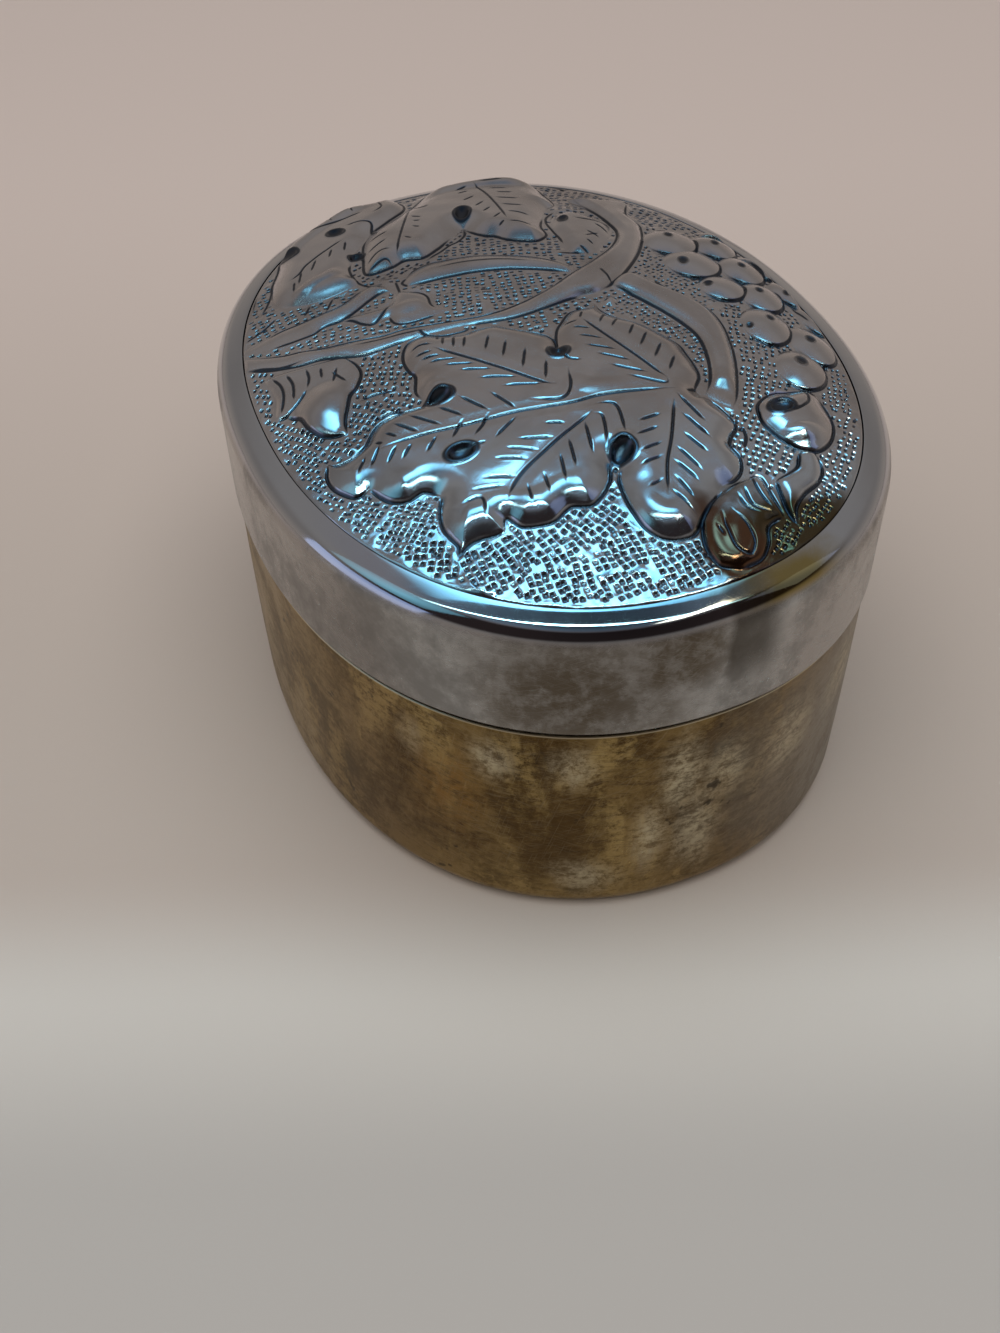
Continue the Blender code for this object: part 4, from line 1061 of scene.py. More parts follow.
@dataclass
class ChasedPanel:
    """The domed panel let into the lid, with the vine raised and chased in it and the ground matted.

    The panel is one sheet. It is cut into six sections only so that no mesh grows too large, and the
    sections share their border points and normals.
    """

    cells: int = 720
    pieces_away: int = 2
    pieces_across: int = 3
    under_stride: int = 4
    dome_rise: float = 4.6
    dome_power: float = 2.2
    sheet_thickness: float = 0.8
    rim_round: float = 0.25
    rim_drop: float = 0.1
    rim_fade: float = 0.55
    drawing: VineDrawing = field(default_factory=VineDrawing)
    matting: PunchedMatting = field(default_factory=PunchedMatting)

    def build(self, material: bpy.types.Material) -> list[bpy.types.Object]:
        """Make the panel's sections, riding on the lid."""
        high = box_of("lid_panel")[1]
        self.rim = Oval(high.x / MM, high.y / MM)
        self.border_height = frame_border_height() / MM
        sheet = WorkedSheet()
        self.drawing.work(sheet)
        full, under = self.skins(sheet, material)
        pieces = [self.section(full, under, material, row, column)
                  for row in range(self.pieces_away) for column in range(self.pieces_across)]
        for piece in pieces:
            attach(piece, Body.LID.value)
            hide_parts("lid_panel")
            LOG.info("%s: %d corners", piece.name, len(piece.data.vertices))
        return pieces

    def grid(self) -> tuple[np.ndarray, np.ndarray, np.ndarray]:
        """X, Y and share of the rim for a square grid of points wrapped onto the oval, in millimetres."""
        steps = np.linspace(-1, 1, self.cells + 1)
        a, b = np.meshgrid(steps, steps)
        wide = np.abs(a) > np.abs(b)
        share = np.where(wide, np.abs(a), np.abs(b))
        with np.errstate(divide="ignore", invalid="ignore"):
            turns = np.where(wide, math.pi / 4 * b / a + np.where(a < 0, math.pi, 0),
                             math.pi / 2 - math.pi / 4 * a / b + np.where(b < 0, math.pi, 0))
        turns = np.nan_to_num(turns)
        x, y = self.rim.points(turns, 0.0, share)
        return x, y, share

    def skins(self, sheet: WorkedSheet, material: bpy.types.Material) -> tuple[dict[str, np.ndarray],
                                                                               np.ndarray]:
        """The panel's outer skin with its normals and recesses, and the places of its inner skin.

        Args:
            sheet: The worked sheet.
            material: The panel's finish.

        Returns:
            The outer skin's arrays by name, and the inner skin's points, all in metres.
        """
        x, y, share = self.grid()
        right, away = to_drawing(x, y)
        from_rim = (1 - share) * np.hypot(x, y) / np.maximum(share, 1e-6)
        dome = self.border_height + self.dome_rise * (1 - share**self.dome_power)
        fade = ease(from_rim / self.rim_fade)
        relief = sheet.at(sheet.soften(sheet.height, 1), right, away)
        recess = sheet.at(sheet.soften(sheet.recess, 1), right, away) * fade
        turn_over = np.clip(1 - from_rim / self.rim_round, 0, 1)
        drop = self.rim_drop * (1 - np.sqrt(1 - turn_over**2))
        outer = np.stack([x, y, dome + relief * fade - drop], -1).reshape(-1, 3) * MM
        soft = sheet.at(sheet.soften(sheet.height, 24), right, away)
        inner = np.stack([x, y, dome + soft * fade - self.sheet_thickness], -1) * MM
        punched = self.punch(sheet, outer, recess.ravel(), material)
        return punched, inner

    def punch(self, sheet: WorkedSheet, outer: np.ndarray, recess: np.ndarray,
              material: bpy.types.Material) -> dict[str, np.ndarray]:
        """Run the matting tree over the outer skin.

        Args:
            sheet: The worked sheet.
            outer: The skin's points, in metres.
            recess: How deep in a sunk line each point lies, from 0 to 1.
            material: The panel's finish.

        Returns:
            The matted skin's points, normals and recesses.
        """
        steps = np.arange(self.cells)
        start = (steps[:, None] * (self.cells + 1) + steps[None, :]).ravel()
        faces = np.stack([start, start + 1, start + self.cells + 2, start + self.cells + 1], 1)
        skin = mesh_from("panel_skin", outer, faces, material)
        skin.data.attributes.new("recess", "FLOAT", "POINT").data.foreach_set("value",
                                                                              recess.astype(np.float32))
        struck = self.matting.places(sheet, self.rim)
        x, y = to_box(struck[:, 0], struck[:, 1])
        points = bpy.data.meshes.new("struck_pits")
        points.from_pydata((np.stack([x, y, 0 * x], 1) * MM).tolist(), [], [])
        for name, values in (("turn", struck[:, 2] + CAMERA_TURN), ("force", struck[:, 3]),
                             ("length", struck[:, 4] * MM), ("width", struck[:, 5] * MM)):
            points.attributes.new(name, "FLOAT", "POINT").data.foreach_set("value",
                                                                           values.astype(np.float32))
        marker = bpy.data.objects.new("struck_pits", points)
        bpy.context.scene.collection.objects.link(marker)
        tree = self.matting.tree(material)
        modifier = skin.modifiers.new("punched matting", "NODES")
        modifier.node_group = tree
        keys = {item.name: item.identifier for item in tree.interface.items_tree if item.in_out == "INPUT"}
        modifier[keys["Struck"]] = marker
        modifier[keys["Metal"]] = material
        bpy.context.view_layer.update()
        matted = bpy.data.meshes.new_from_object(skin.evaluated_get(bpy.context.evaluated_depsgraph_get()))
        skin.modifiers.remove(modifier)
        count = len(matted.vertices)
        arrays = {"place": np.empty(count * 3, np.float32), "normal": np.empty(count * 3, np.float32),
                  "recess": np.empty(count, np.float32)}
        matted.vertices.foreach_get("co", arrays["place"])
        matted.vertex_normals.foreach_get("vector", arrays["normal"])
        matted.attributes["recess"].data.foreach_get("value", arrays["recess"])
        for old in (skin, marker):
            bpy.data.objects.remove(old, do_unlink=True)
        LOG.info("matting: %d pits", len(struck))
        side = self.cells + 1
        return {"place": arrays["place"].reshape(side, side, 3),
                "normal": arrays["normal"].reshape(side, side, 3),
                "recess": arrays["recess"].reshape(side, side)}

    def section(self, outer: dict[str, np.ndarray], inner: np.ndarray, material: bpy.types.Material,
                row: int, column: int) -> bpy.types.Object:
        """Close one section of the panel with a coarser inner skin and walls between the two.

        Args:
            outer: The outer skin's points, normals and recesses.
            inner: The inner skin's points, on the same grid.
            material: The panel's finish.
            row: Number of the section from the near edge.
            column: Number of the section from the left edge.

        Returns:
            The closed section.
        """
        deep, wide = self.cells // self.pieces_away, self.cells // self.pieces_across
        stride = self.under_stride
        rows = slice(row * deep, (row + 1) * deep + 1)
        columns = slice(column * wide, (column + 1) * wide + 1)
        top = outer["place"][rows, columns].reshape(-1, 3)
        under = inner[rows, columns][::stride, ::stride]
        side, small, few = wide + 1, wide // stride + 1, deep // stride
        corners = np.concatenate([top, under.reshape(-1, 3)])
        across, away = np.arange(wide), np.arange(deep)
        start = (away[:, None] * side + across[None, :]).ravel()
        top_faces = np.stack([start, start + 1, start + side + 1, start + side], 1)
        some_across, some_away = np.arange(small - 1), np.arange(few)
        start = len(top) + (some_away[:, None] * small + some_across[None, :]).ravel()
        under_faces = np.stack([start, start + small, start + small + 1, start + 1], 1)
        fine_ring = np.concatenate([across, wide + away * side, deep * side + wide - across,
                                    (deep - away) * side])
        last = small - 1
        coarse_ring = len(top) + np.concatenate([some_across, last + some_away * small, few * small
                                                 + last - some_across, (few - some_away) * small])
        walls = []
        for number, foot in enumerate(coarse_ring):
            foot_after = coarse_ring[(number + 1) % len(coarse_ring)]
            fine = [fine_ring[(number * stride + k) % len(fine_ring)] for k in range(stride + 1)]
            middle = stride // 2
            walls += [(foot, fine[k + 1], fine[k]) for k in range(middle)]
            walls += [(foot, foot_after, fine[middle])]
            walls += [(foot_after, fine[k + 1], fine[k]) for k in range(middle, stride)]
        walls = np.array(walls)
        name = "lid_panel_" + ("front", "back")[row] + "_" + ("left", "middle", "right")[column]
        piece = mesh_from(name, corners, [*top_faces.tolist(), *under_faces.tolist(), *walls.tolist()],
                          material)
        recess = np.concatenate([outer["recess"][rows, columns].ravel(),
                                 np.zeros(len(corners) - len(top))])
        piece.data.attributes.new("recess", "FLOAT", "POINT").data.foreach_set("value",
                                                                               recess.astype(np.float32))
        normals = outer["normal"][rows, columns].reshape(-1, 3)[top_faces.ravel()]
        under_normals = np.cross(np.gradient(under, axis=0), np.gradient(under, axis=1)).reshape(-1, 3)
        under_normals /= np.linalg.norm(under_normals, axis=1, keepdims=True)
        sides = np.cross(corners[walls[:, 1]] - corners[walls[:, 0]],
                         corners[walls[:, 2]] - corners[walls[:, 0]])
        sides /= np.maximum(np.linalg.norm(sides, axis=1, keepdims=True), 1e-20)
        piece.data.normals_split_custom_set(np.concatenate(
            [normals, under_normals[under_faces.ravel() - len(top)], np.repeat(sides, 3, axis=0)]).tolist())
        return piece


def frame_border_height() -> float:
    """Height of the lid's border line, where its band ends and the panel begins, in metres."""
    return box_of("lid_band")[1].z


# Sheet metal round the box


@dataclass(frozen=True)
class Unevenness:
    """The slow waves that hand raising leaves in a wall."""

    depth: float = 0.09 * MM
    seed: int = 5

    def at(self, turns: np.ndarray, height: float) -> np.ndarray:
        """How far the wall stands in at some turns and a height, never outwards."""
        draw = np.random.default_rng(self.seed)
        waves = np.zeros_like(turns)
        total = 0.0
        for count in (2, 3, 5, 7, 11, 17):
            weight = count**-0.6
            phase, rise = draw.uniform(0, 2 * math.pi), draw.uniform(-90, 90)
            waves += weight * np.sin(count * turns + phase + rise * height)
            total += weight
        return self.depth * (0.5 + 0.5 * waves / total)


def rounded(points: list[tuple[float, float]], radii: list[float],
            steps: int = 5) -> list[tuple[float, float]]:
    """A closed section with some corners rounded.

    Args:
        points: The section's corners as inset and height.
        radii: Radius at each corner, 0 for none.
        steps: Points round each rounded corner.

    Returns:
        The rounded section.
    """
    section = []
    for number, (corner, radius) in enumerate(zip(points, radii)):
        here = np.array(corner)
        if radius <= 0:
            section.append(corner)
            continue
        back = np.array(points[number - 1]) - here
        ahead = np.array(points[(number + 1) % len(points)]) - here
        start = here + back / np.linalg.norm(back) * radius
        end = here + ahead / np.linalg.norm(ahead) * radius
        for t in np.linspace(0, 1, steps):
            place = (1 - t) ** 2 * start + 2 * t * (1 - t) * here + t**2 * end
            section.append((float(place[0]), float(place[1])))
    return section


def divided(section: list[tuple[float, float]], longest: float) -> list[tuple[float, float]]:
    """A closed section with its long stretches divided evenly."""
    fine = []
    for start, end in zip(section, section[1:] + section[:1]):
        count = max(1, math.ceil(math.dist(start, end) / longest))
        fine += [(start[0] + (end[0] - start[0]) * k / count, start[1] + (end[1] - start[1]) * k / count)
                 for k in range(count)]
    return fine


@dataclass
class RaisedWall:
    """A band of sheet metal that follows the box's oval, swept from its section."""

    oval: Oval
    segments: int = 720
    unevenness: Unevenness = Unevenness()
    edge_height: float = 0.0
    edge_fade: float = 0.0
    edge_lift: float = 0.0
    edge_turn: float = 0.0

    def sweep(self, name: str, section: list[tuple[float, float]],
              material: bpy.types.Material) -> bpy.types.Object:
        """Sweep a section of insets and heights round the oval."""
        turns = np.linspace(0, 2 * math.pi, self.segments, endpoint=False)
        rings = []
        for inset, height in section:
            x, y = self.oval.points(turns, inset + self.unevenness.at(turns, height))
            near_edge = np.clip(1 - (height - self.edge_height) / self.edge_fade, 0,
                                1) if self.edge_fade > 0 else 0.0
            lift = self.edge_lift * near_edge * (0.5 + 0.5 * np.cos(turns - self.edge_turn))
            rings.append(np.stack([x, y, height + lift], 1))
        return loft(name, rings, material)


@dataclass
class LidBand:
    """The lid's skirt, turned over a round shoulder to the border line."""

    oval: Oval
    sheet: float = 0.8 * MM
    shoulder_width: float = 3.3 * MM
    roll_width: float = 2.8 * MM
    roll_height: float = 2.8 * MM
    roll_sweep: float = math.radians(64.0)
    roll_steps: int = 18
    flat_drop: float = 0.62 * MM
    flat_power: float = 1.15
    flat_steps: int = 6
    lip: float = 0.1 * MM
    foot_round: float = 0.22 * MM
    longest: float = 0.7 * MM

    def build(self, material: bpy.types.Material) -> bpy.types.Object:
        """Make the band, riding on the lid."""
        low, high = box_of("lid_band")
        seat, top = low.z, high.z
        foot = top - self.flat_drop - self.roll_height * math.sin(self.roll_sweep)
        outside, inside = [], []
        for step in range(self.roll_steps + 1):
            turn = self.roll_sweep * step / self.roll_steps
            outside.append((self.roll_width * (1 - math.cos(turn)), foot
                            + self.roll_height * math.sin(turn)))
            inside.append((self.sheet + (self.roll_width - self.sheet) * (1 - math.cos(turn)),
                           foot + (self.roll_height - self.sheet) * math.sin(turn)))
        near, inner_near = outside[-1][0], inside[-1][0]
        for step in range(1, self.flat_steps + 1):
            share = step / self.flat_steps
            height = top - self.flat_drop * (1 - share) ** self.flat_power
            outside.append((near + (self.shoulder_width - near) * share, height))
            inside.append((inner_near + (self.shoulder_width - inner_near) * share, height - self.sheet))
        corners = [(0.0, seat), *outside, *inside[::-1], (self.sheet, seat)]
        radii = [self.foot_round] + [0.0] * (len(outside) - 1) + [self.lip] * 2
        radii += [0.0] * (len(inside) - 1) + [self.foot_round]
        section = divided(rounded(corners, radii), self.longest)
        skirt = RaisedWall(self.oval, unevenness=Unevenness(0.07 * MM, 8), edge_height=seat,
                           edge_fade=4.0 * MM, edge_lift=0.45 * MM, edge_turn=math.radians(-150.0))
        piece = skirt.sweep("lid_band_skirt", section, material)
        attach(piece, Body.LID.value)
        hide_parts("lid_band")
        LOG.info("%s: %d corners", piece.name, len(piece.data.vertices))
        return piece


@dataclass
class Base:
    """The base's raised wall, its floor plate and the neck that the lid slides over."""

    oval: Oval
    sheet: float = 0.8 * MM
    inset: float = 0.4 * MM
    draw_in: float = 0.4 * MM
    draw_in_power: float = 2.4
    edge_radius: float = 2.4 * MM
    flange: float = 1.8 * MM
    edge_steps: int = 14
    neck_sheet: float = 0.7 * MM
    wall_steps: int = 12
    lip: float = 0.24 * MM
    inner_lip: float = 0.2 * MM
    longest: float = 0.8 * MM
    floor_corner: float = 0.15 * MM

    def wall_inset(self, height: float) -> float:
        """How far the wall stands in from the lid's skirt at a height."""
        return self.inset + self.draw_in * max(0.0, 1 - height / self.top) ** self.draw_in_power

    def build(self, wall_metal: bpy.types.Material, neck_metal: bpy.types.Material,
              floor_metal: bpy.types.Material) -> list[bpy.types.Object]:
        """Make the base's three pieces, riding on the base."""
        self.top = box_of("base_wall")[1].z
        pieces = [self.wall(wall_metal), self.neck(neck_metal), self.floor(floor_metal)]
        for piece, node, slot in zip(pieces, ("base_wall", "neck_ring", "base_floor"),
                                     (Slot.BASE_WALL, Slot.NECK, Slot.BASE_FLOOR)):
            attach(piece, Body.BASE.value)
            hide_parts(node)
            LOG.info("%s: %d corners", piece.name, len(piece.data.vertices))
        return pieces

    def wall(self, material: bpy.types.Material) -> bpy.types.Object:
        """The wall, with its soft lower edge and the flange that holds the floor."""
        straight = self.top - self.edge_radius
        heights = [self.top - straight * k / self.wall_steps for k in range(self.wall_steps + 1)]
        outside = [(self.wall_inset(height), height) for height in heights]
        inside = [(inset + self.sheet, height) for inset, height in outside]
        edge, inner_edge = [], []
        foot = self.wall_inset(self.edge_radius)
        for step in range(1, self.edge_steps + 1):
            turn = math.pi / 2 * step / self.edge_steps
            edge.append((foot + self.edge_radius * (1 - math.cos(turn)),
                         self.edge_radius * (1 - math.sin(turn))))
            inner = self.edge_radius - self.sheet
            inner_edge.append((foot + self.sheet + inner * (1 - math.cos(turn)), self.sheet
                               + inner * (1 - math.sin(turn))))
        opening = foot + self.edge_radius + self.flange
        corners = [*outside, *edge, (opening, 0.0), (opening, self.sheet), *inner_edge[::-1],
                   *inside[::-1]]
        radii = [self.lip] + [0.0] * (len(corners) - 2) + [self.inner_lip]
        section = divided(rounded(corners, radii), self.longest)
        return RaisedWall(self.oval, unevenness=Unevenness(0.08 * MM, 3)).sweep("base_wall_raised",
                                                                                section, material)

    def neck(self, material: bpy.types.Material) -> bpy.types.Object:
        """The collar soldered inside the wall."""
        low, high = box_of("neck_ring")
        near = self.oval.half_width - high.x
        corners = [(near, low.z), (near, high.z), (near + self.neck_sheet, high.z),
                   (near + self.neck_sheet, low.z)]
        section = divided(rounded(corners, [0.1 * MM, 0.25 * MM, 0.2 * MM, 0.1 * MM]), self.longest)
        return RaisedWall(self.oval, unevenness=Unevenness(0.04 * MM, 2)).sweep("neck_collar", section,
                                                                                material)

    def floor(self, material: bpy.types.Material) -> bpy.types.Object:
        """The floor plate let into the wall's flange."""
        low, high = box_of("base_floor")
        near = self.oval.half_width - high.x
        turns = np.linspace(0, 2 * math.pi, 360, endpoint=False)
        under = [(share, low.z) for share in (0.2, 0.5, 0.8, 0.95)]
        rim = [(0.9955, low.z), (1.0, low.z + self.floor_corner), (1.0, high.z - self.floor_corner),
               (0.9955, high.z)]
        over = [(share, high.z) for share in (0.95, 0.8, 0.5, 0.2)]
        rings = []
        for share, height in under + rim + over:
            x, y = self.oval.points(turns, near, share)
            rings.append(np.stack([x, y, np.full_like(x, height)], 1))
        return loft("base_floor_plate", rings, material, caps=True)


# Finishes


class Graph:
    """A material's node tree, with short calls for the nodes that the finishes share."""

    def __init__(self, name: str) -> None:
        """Start a material with one Principled shader.

        Args:
            name: The material's name.
        """
        self.material = bpy.data.materials.new(name)
        self.material.use_nodes = True
        self.tree = self.material.node_tree
        self.tree.nodes.clear()
        self.shader = self.add("ShaderNodeBsdfPrincipled")
        self.feed(self.add("ShaderNodeOutputMaterial").inputs["Surface"], self.shader.outputs["BSDF"])
        self.places = self.add("ShaderNodeTexCoord").outputs["Object"]

    def add(self, kind: str, **settings: object) -> bpy.types.Node:
        """A new node with some of its properties set."""
        node = self.tree.nodes.new(kind)
        for name, value in settings.items():
            setattr(node, name, value)
        return node

    def feed(self, socket: bpy.types.NodeSocket, value: object) -> None:
        """Join a socket to another one, or set it to a plain value."""
        if isinstance(value, bpy.types.NodeSocket):
            self.tree.links.new(value, socket)
        else:
            socket.default_value = value

    def attribute(self, name: str) -> bpy.types.NodeSocket:
        """A number stored on the piece."""
        return self.add("ShaderNodeAttribute", attribute_name=name).outputs["Fac"]

    def stretched(self, stretch: Colour, turn: Colour = (0.0, 0.0, 0.0)) -> bpy.types.NodeSocket:
        """Object coordinates turned and then stretched, so that a pattern runs one way."""
        node = self.add("ShaderNodeMapping", vector_type="TEXTURE")
        self.feed(node.inputs["Vector"], self.places)
        node.inputs["Rotation"].default_value = turn
        node.inputs["Scale"].default_value = stretch
        return node.outputs[0]

    def noise(self, scale: float, detail: float = 4.0, rough: float = 0.55,
              vector: bpy.types.NodeSocket | None = None, twist: float = 0.0) -> bpy.types.NodeSocket:
        """A noise pattern of a number of waves to the metre."""
        node = self.add("ShaderNodeTexNoise")
        self.feed(node.inputs["Vector"], vector or self.places)
        for name, value in (
                ("Scale", scale), ("Detail", detail), ("Roughness", rough), ("Distortion", twist)):
            node.inputs[name].default_value = value
        return node.outputs["Fac"]

    def spread(self, value: bpy.types.NodeSocket, low: float, high: float, least: float = 0.0,
               most: float = 1.0) -> bpy.types.NodeSocket:
        """A value's range from low to high turned smoothly into one from least to most."""
        node = self.add("ShaderNodeMapRange", interpolation_type="SMOOTHSTEP")
        for name, given in (
                ("Value", value), ("From Min", low), ("From Max", high), ("To Min", least),
                ("To Max", most)):
            self.feed(node.inputs[name], given)
        return node.outputs[0]

    def calc(self, operation: str, first: object, second: object) -> bpy.types.NodeSocket:
        """One Math node."""
        node = self.add("ShaderNodeMath", operation=operation)
        self.feed(node.inputs[0], first)
        self.feed(node.inputs[1], second)
        return node.outputs[0]

    def times(self, first: object, second: object) -> bpy.types.NodeSocket:
        """One value times another."""
        return self.calc("MULTIPLY", first, second)

    def plus(self, first: object, second: object) -> bpy.types.NodeSocket:
        """One value added to another."""
        return self.calc("ADD", first, second)

    def opaque(self, colour: object) -> object:
        """A plain colour with its full opacity, or the socket that gives one."""
        return colour if isinstance(colour, bpy.types.NodeSocket) else (*colour, 1.0)

    def blend(self, share: object, first: object, second: object) -> bpy.types.NodeSocket:
        """Two colours mixed by a share."""
        node = self.add("ShaderNodeMix", data_type="RGBA")
        self.feed(node.inputs["Factor"], share)
        self.feed(node.inputs[6], self.opaque(first))
        self.feed(node.inputs[7], self.opaque(second))
        return node.outputs[2]

    def away(self) -> bpy.types.NodeSocket:
        """How far a place lies beyond the box's middle, seen from the camera, in metres."""
        parts = self.add("ShaderNodeSeparateXYZ")
        self.feed(parts.inputs[0], self.places)
        return self.plus(self.times(parts.outputs[1], math.cos(CAMERA_TURN)),
                         self.times(parts.outputs[0], -math.sin(CAMERA_TURN)))

    def hairs(self, scale: float, layers: int) -> bpy.types.NodeSocket:
        """Short straight hairline scratches that cross one another.

        Args:
            scale: Hairs to the metre along a scratch.
            layers: How many directions the scratches run in.

        Returns:
            1 in a scratch and 0 beside it.
        """
        crossed = None
        for layer in range(layers):
            turn = (0.25 * math.sin(2.1 * layer), 0.45 + 2.4 * layer, 0.6 * layer)
            lines = self.noise(scale / 3.0, 1.0, 0.5, self.stretched((1.0, 1.0, 0.03), turn))
            lines = self.spread(lines, 0.6, 0.72)
            crossed = lines if crossed is None else self.calc("MAXIMUM", crossed, lines)
        return crossed

    def patch(self, place: Colour, size: Colour, ragged: bpy.types.NodeSocket | None = None,
              soft: float = 0.5) -> bpy.types.NodeSocket:
        """A stain about a place: 1 in its middle, 0 outside.

        Args:
            place: The patch's middle, in millimetres.
            size: Its half sizes along X, Y and Z, in millimetres.
            ragged: A pattern that breaks up its edge.
            soft: How much of it is edge.

        Returns:
            The patch's share.
        """
        node = self.add("ShaderNodeMapping", vector_type="TEXTURE")
        self.feed(node.inputs["Vector"], self.places)
        node.inputs["Location"].default_value = tuple(value * MM for value in place)
        node.inputs["Scale"].default_value = tuple(value * MM for value in size)
        length = self.add("ShaderNodeVectorMath", operation="LENGTH")
        self.feed(length.inputs[0], node.outputs[0])
        reach = length.outputs["Value"]
        if ragged is not None:
            reach = self.plus(reach, self.times(self.calc("SUBTRACT", ragged, 0.5), 1.6))
        return self.spread(reach, 1.0 - soft, 1.0 + soft * 0.3, 1.0, 0.0)

    def bump(self, height: bpy.types.NodeSocket, depth: float, strength: float = 1.0,
             under: bpy.types.NodeSocket | None = None) -> bpy.types.NodeSocket:
        """Fine relief from a pattern, in millimetres deep, over other fine relief if given."""
        node = self.add("ShaderNodeBump")
        node.inputs["Strength"].default_value = strength
        node.inputs["Distance"].default_value = depth * MM
        self.feed(node.inputs["Height"], height)
        if under is not None:
            self.feed(node.inputs["Normal"], under)
        return node.outputs[0]

    def finish(self, colour: object, metallic: object, roughness: object,
               normal: bpy.types.NodeSocket | None = None) -> bpy.types.Material:
        """Feed the shader and hand the material over."""
        self.feed(self.shader.inputs["Base Color"], self.opaque(colour))
        self.feed(self.shader.inputs["Metallic"], metallic)
        self.feed(self.shader.inputs["Roughness"], roughness)
        if normal is not None:
            self.feed(self.shader.inputs["Normal"], normal)
        return self.material


@dataclass(frozen=True)
class ChasedSilver:
    """Silver worked by hand, bright on what stands proud and black with patina in what is sunk, that black
    made deeper towards the back as painted shade, and tinted blue over its near part as a painted reflection.
    """

    bright: Colour = (0.62, 0.60, 0.60)
    aged: Colour = (0.43, 0.39, 0.37)
    # Bluer copies of bright and aged: a painted reflection of blue light, laid on the near part of the lid.
    painted_blue_reflection: Colour = (0.58, 0.62, 0.66)
    aged_painted_blue_reflection: Colour = (0.34, 0.36, 0.39)
    black: Colour = (0.032, 0.042, 0.06)
    gilt: Colour = (0.15, 0.08, 0.045)
    dark_olive: Colour = (0.10, 0.075, 0.04)

    def material(self) -> bpy.types.Material:
        """The finish's material."""
        graph = Graph("chased silver")
        recess = graph.attribute("recess")
        cloud = graph.noise(70.0, 5.0, 0.6, twist=0.4)
        grain = graph.noise(900.0, 3.0, 0.6)
        ageing = graph.spread(cloud, 0.38, 0.68, 0.0, 0.7)
        ragged = graph.noise(160.0, 3.0)
        # Painted reflection: towards the near edge the colour turns to the bluer copies, standing in for the
        # blue light that this part reflects.
        near = graph.spread(graph.plus(graph.away(),
                                       graph.times(graph.calc("SUBTRACT", cloud, 0.5), 12.0 * MM)),
                            -12.0 * MM, -26.0 * MM)
        warm = graph.blend(ageing, self.bright, self.aged)
        colour = graph.blend(near, warm, graph.blend(ageing, self.painted_blue_reflection, self.aged_painted_blue_reflection))
        # Painted reflection: a patch at the left of the near part where the darker blue copy is laid on more
        # strongly.
        painted_reflection_patch = graph.patch((-25.0, -9.0, 47.0), (9.0, 12.0, 9.0), ragged, 0.9)
        colour = graph.blend(graph.times(painted_reflection_patch, 0.5), colour, self.aged_painted_blue_reflection)
        # A dark patch over the gilt leaf's right part and the ground beside it.
        colour = graph.blend(graph.patch((11.0, -37.0, 45.0), (9.0, 6.5, 8.0), ragged), colour, self.dark_olive)
        colour = graph.blend(graph.patch((4.6, -37.6, 46.0), (3.6, 5.6, 8.0), ragged), colour, self.gilt)
        # Black patina in the sunk lines and pits, made heavier towards the back as painted shade.
        patina_and_painted_shade = graph.times(recess, graph.spread(graph.away(), -32.0 * MM, -19.0 * MM, 1.35, 2.2))
        tarnish_and_painted_shade = graph.spread(graph.plus(patina_and_painted_shade, graph.times(grain, 0.2)), 0.25, 1.1, 0.0, 0.93)
        colour = graph.blend(tarnish_and_painted_shade, colour, self.black)
        rough = graph.plus(graph.spread(grain, 0.3, 0.7, 0.12, 0.17), graph.times(recess, 0.15))
        rough = graph.plus(rough, graph.spread(cloud, 0.45, 0.7, 0.0, 0.05))
        rough = graph.plus(rough, graph.spread(graph.away(), -18.0 * MM, 8.0 * MM, 0.0, 0.09))
        scratches = graph.noise(260.0, 3.0, 0.6, graph.stretched((1.0, 0.02, 1.0), (0.0, 0.0, 0.5)))
        normal = graph.bump(scratches, 0.01, 0.5)
        normal = graph.bump(graph.noise(420.0, 2.0, 0.5), 0.03, 0.7, normal)
        return graph.finish(colour, 1.0, rough, normal)


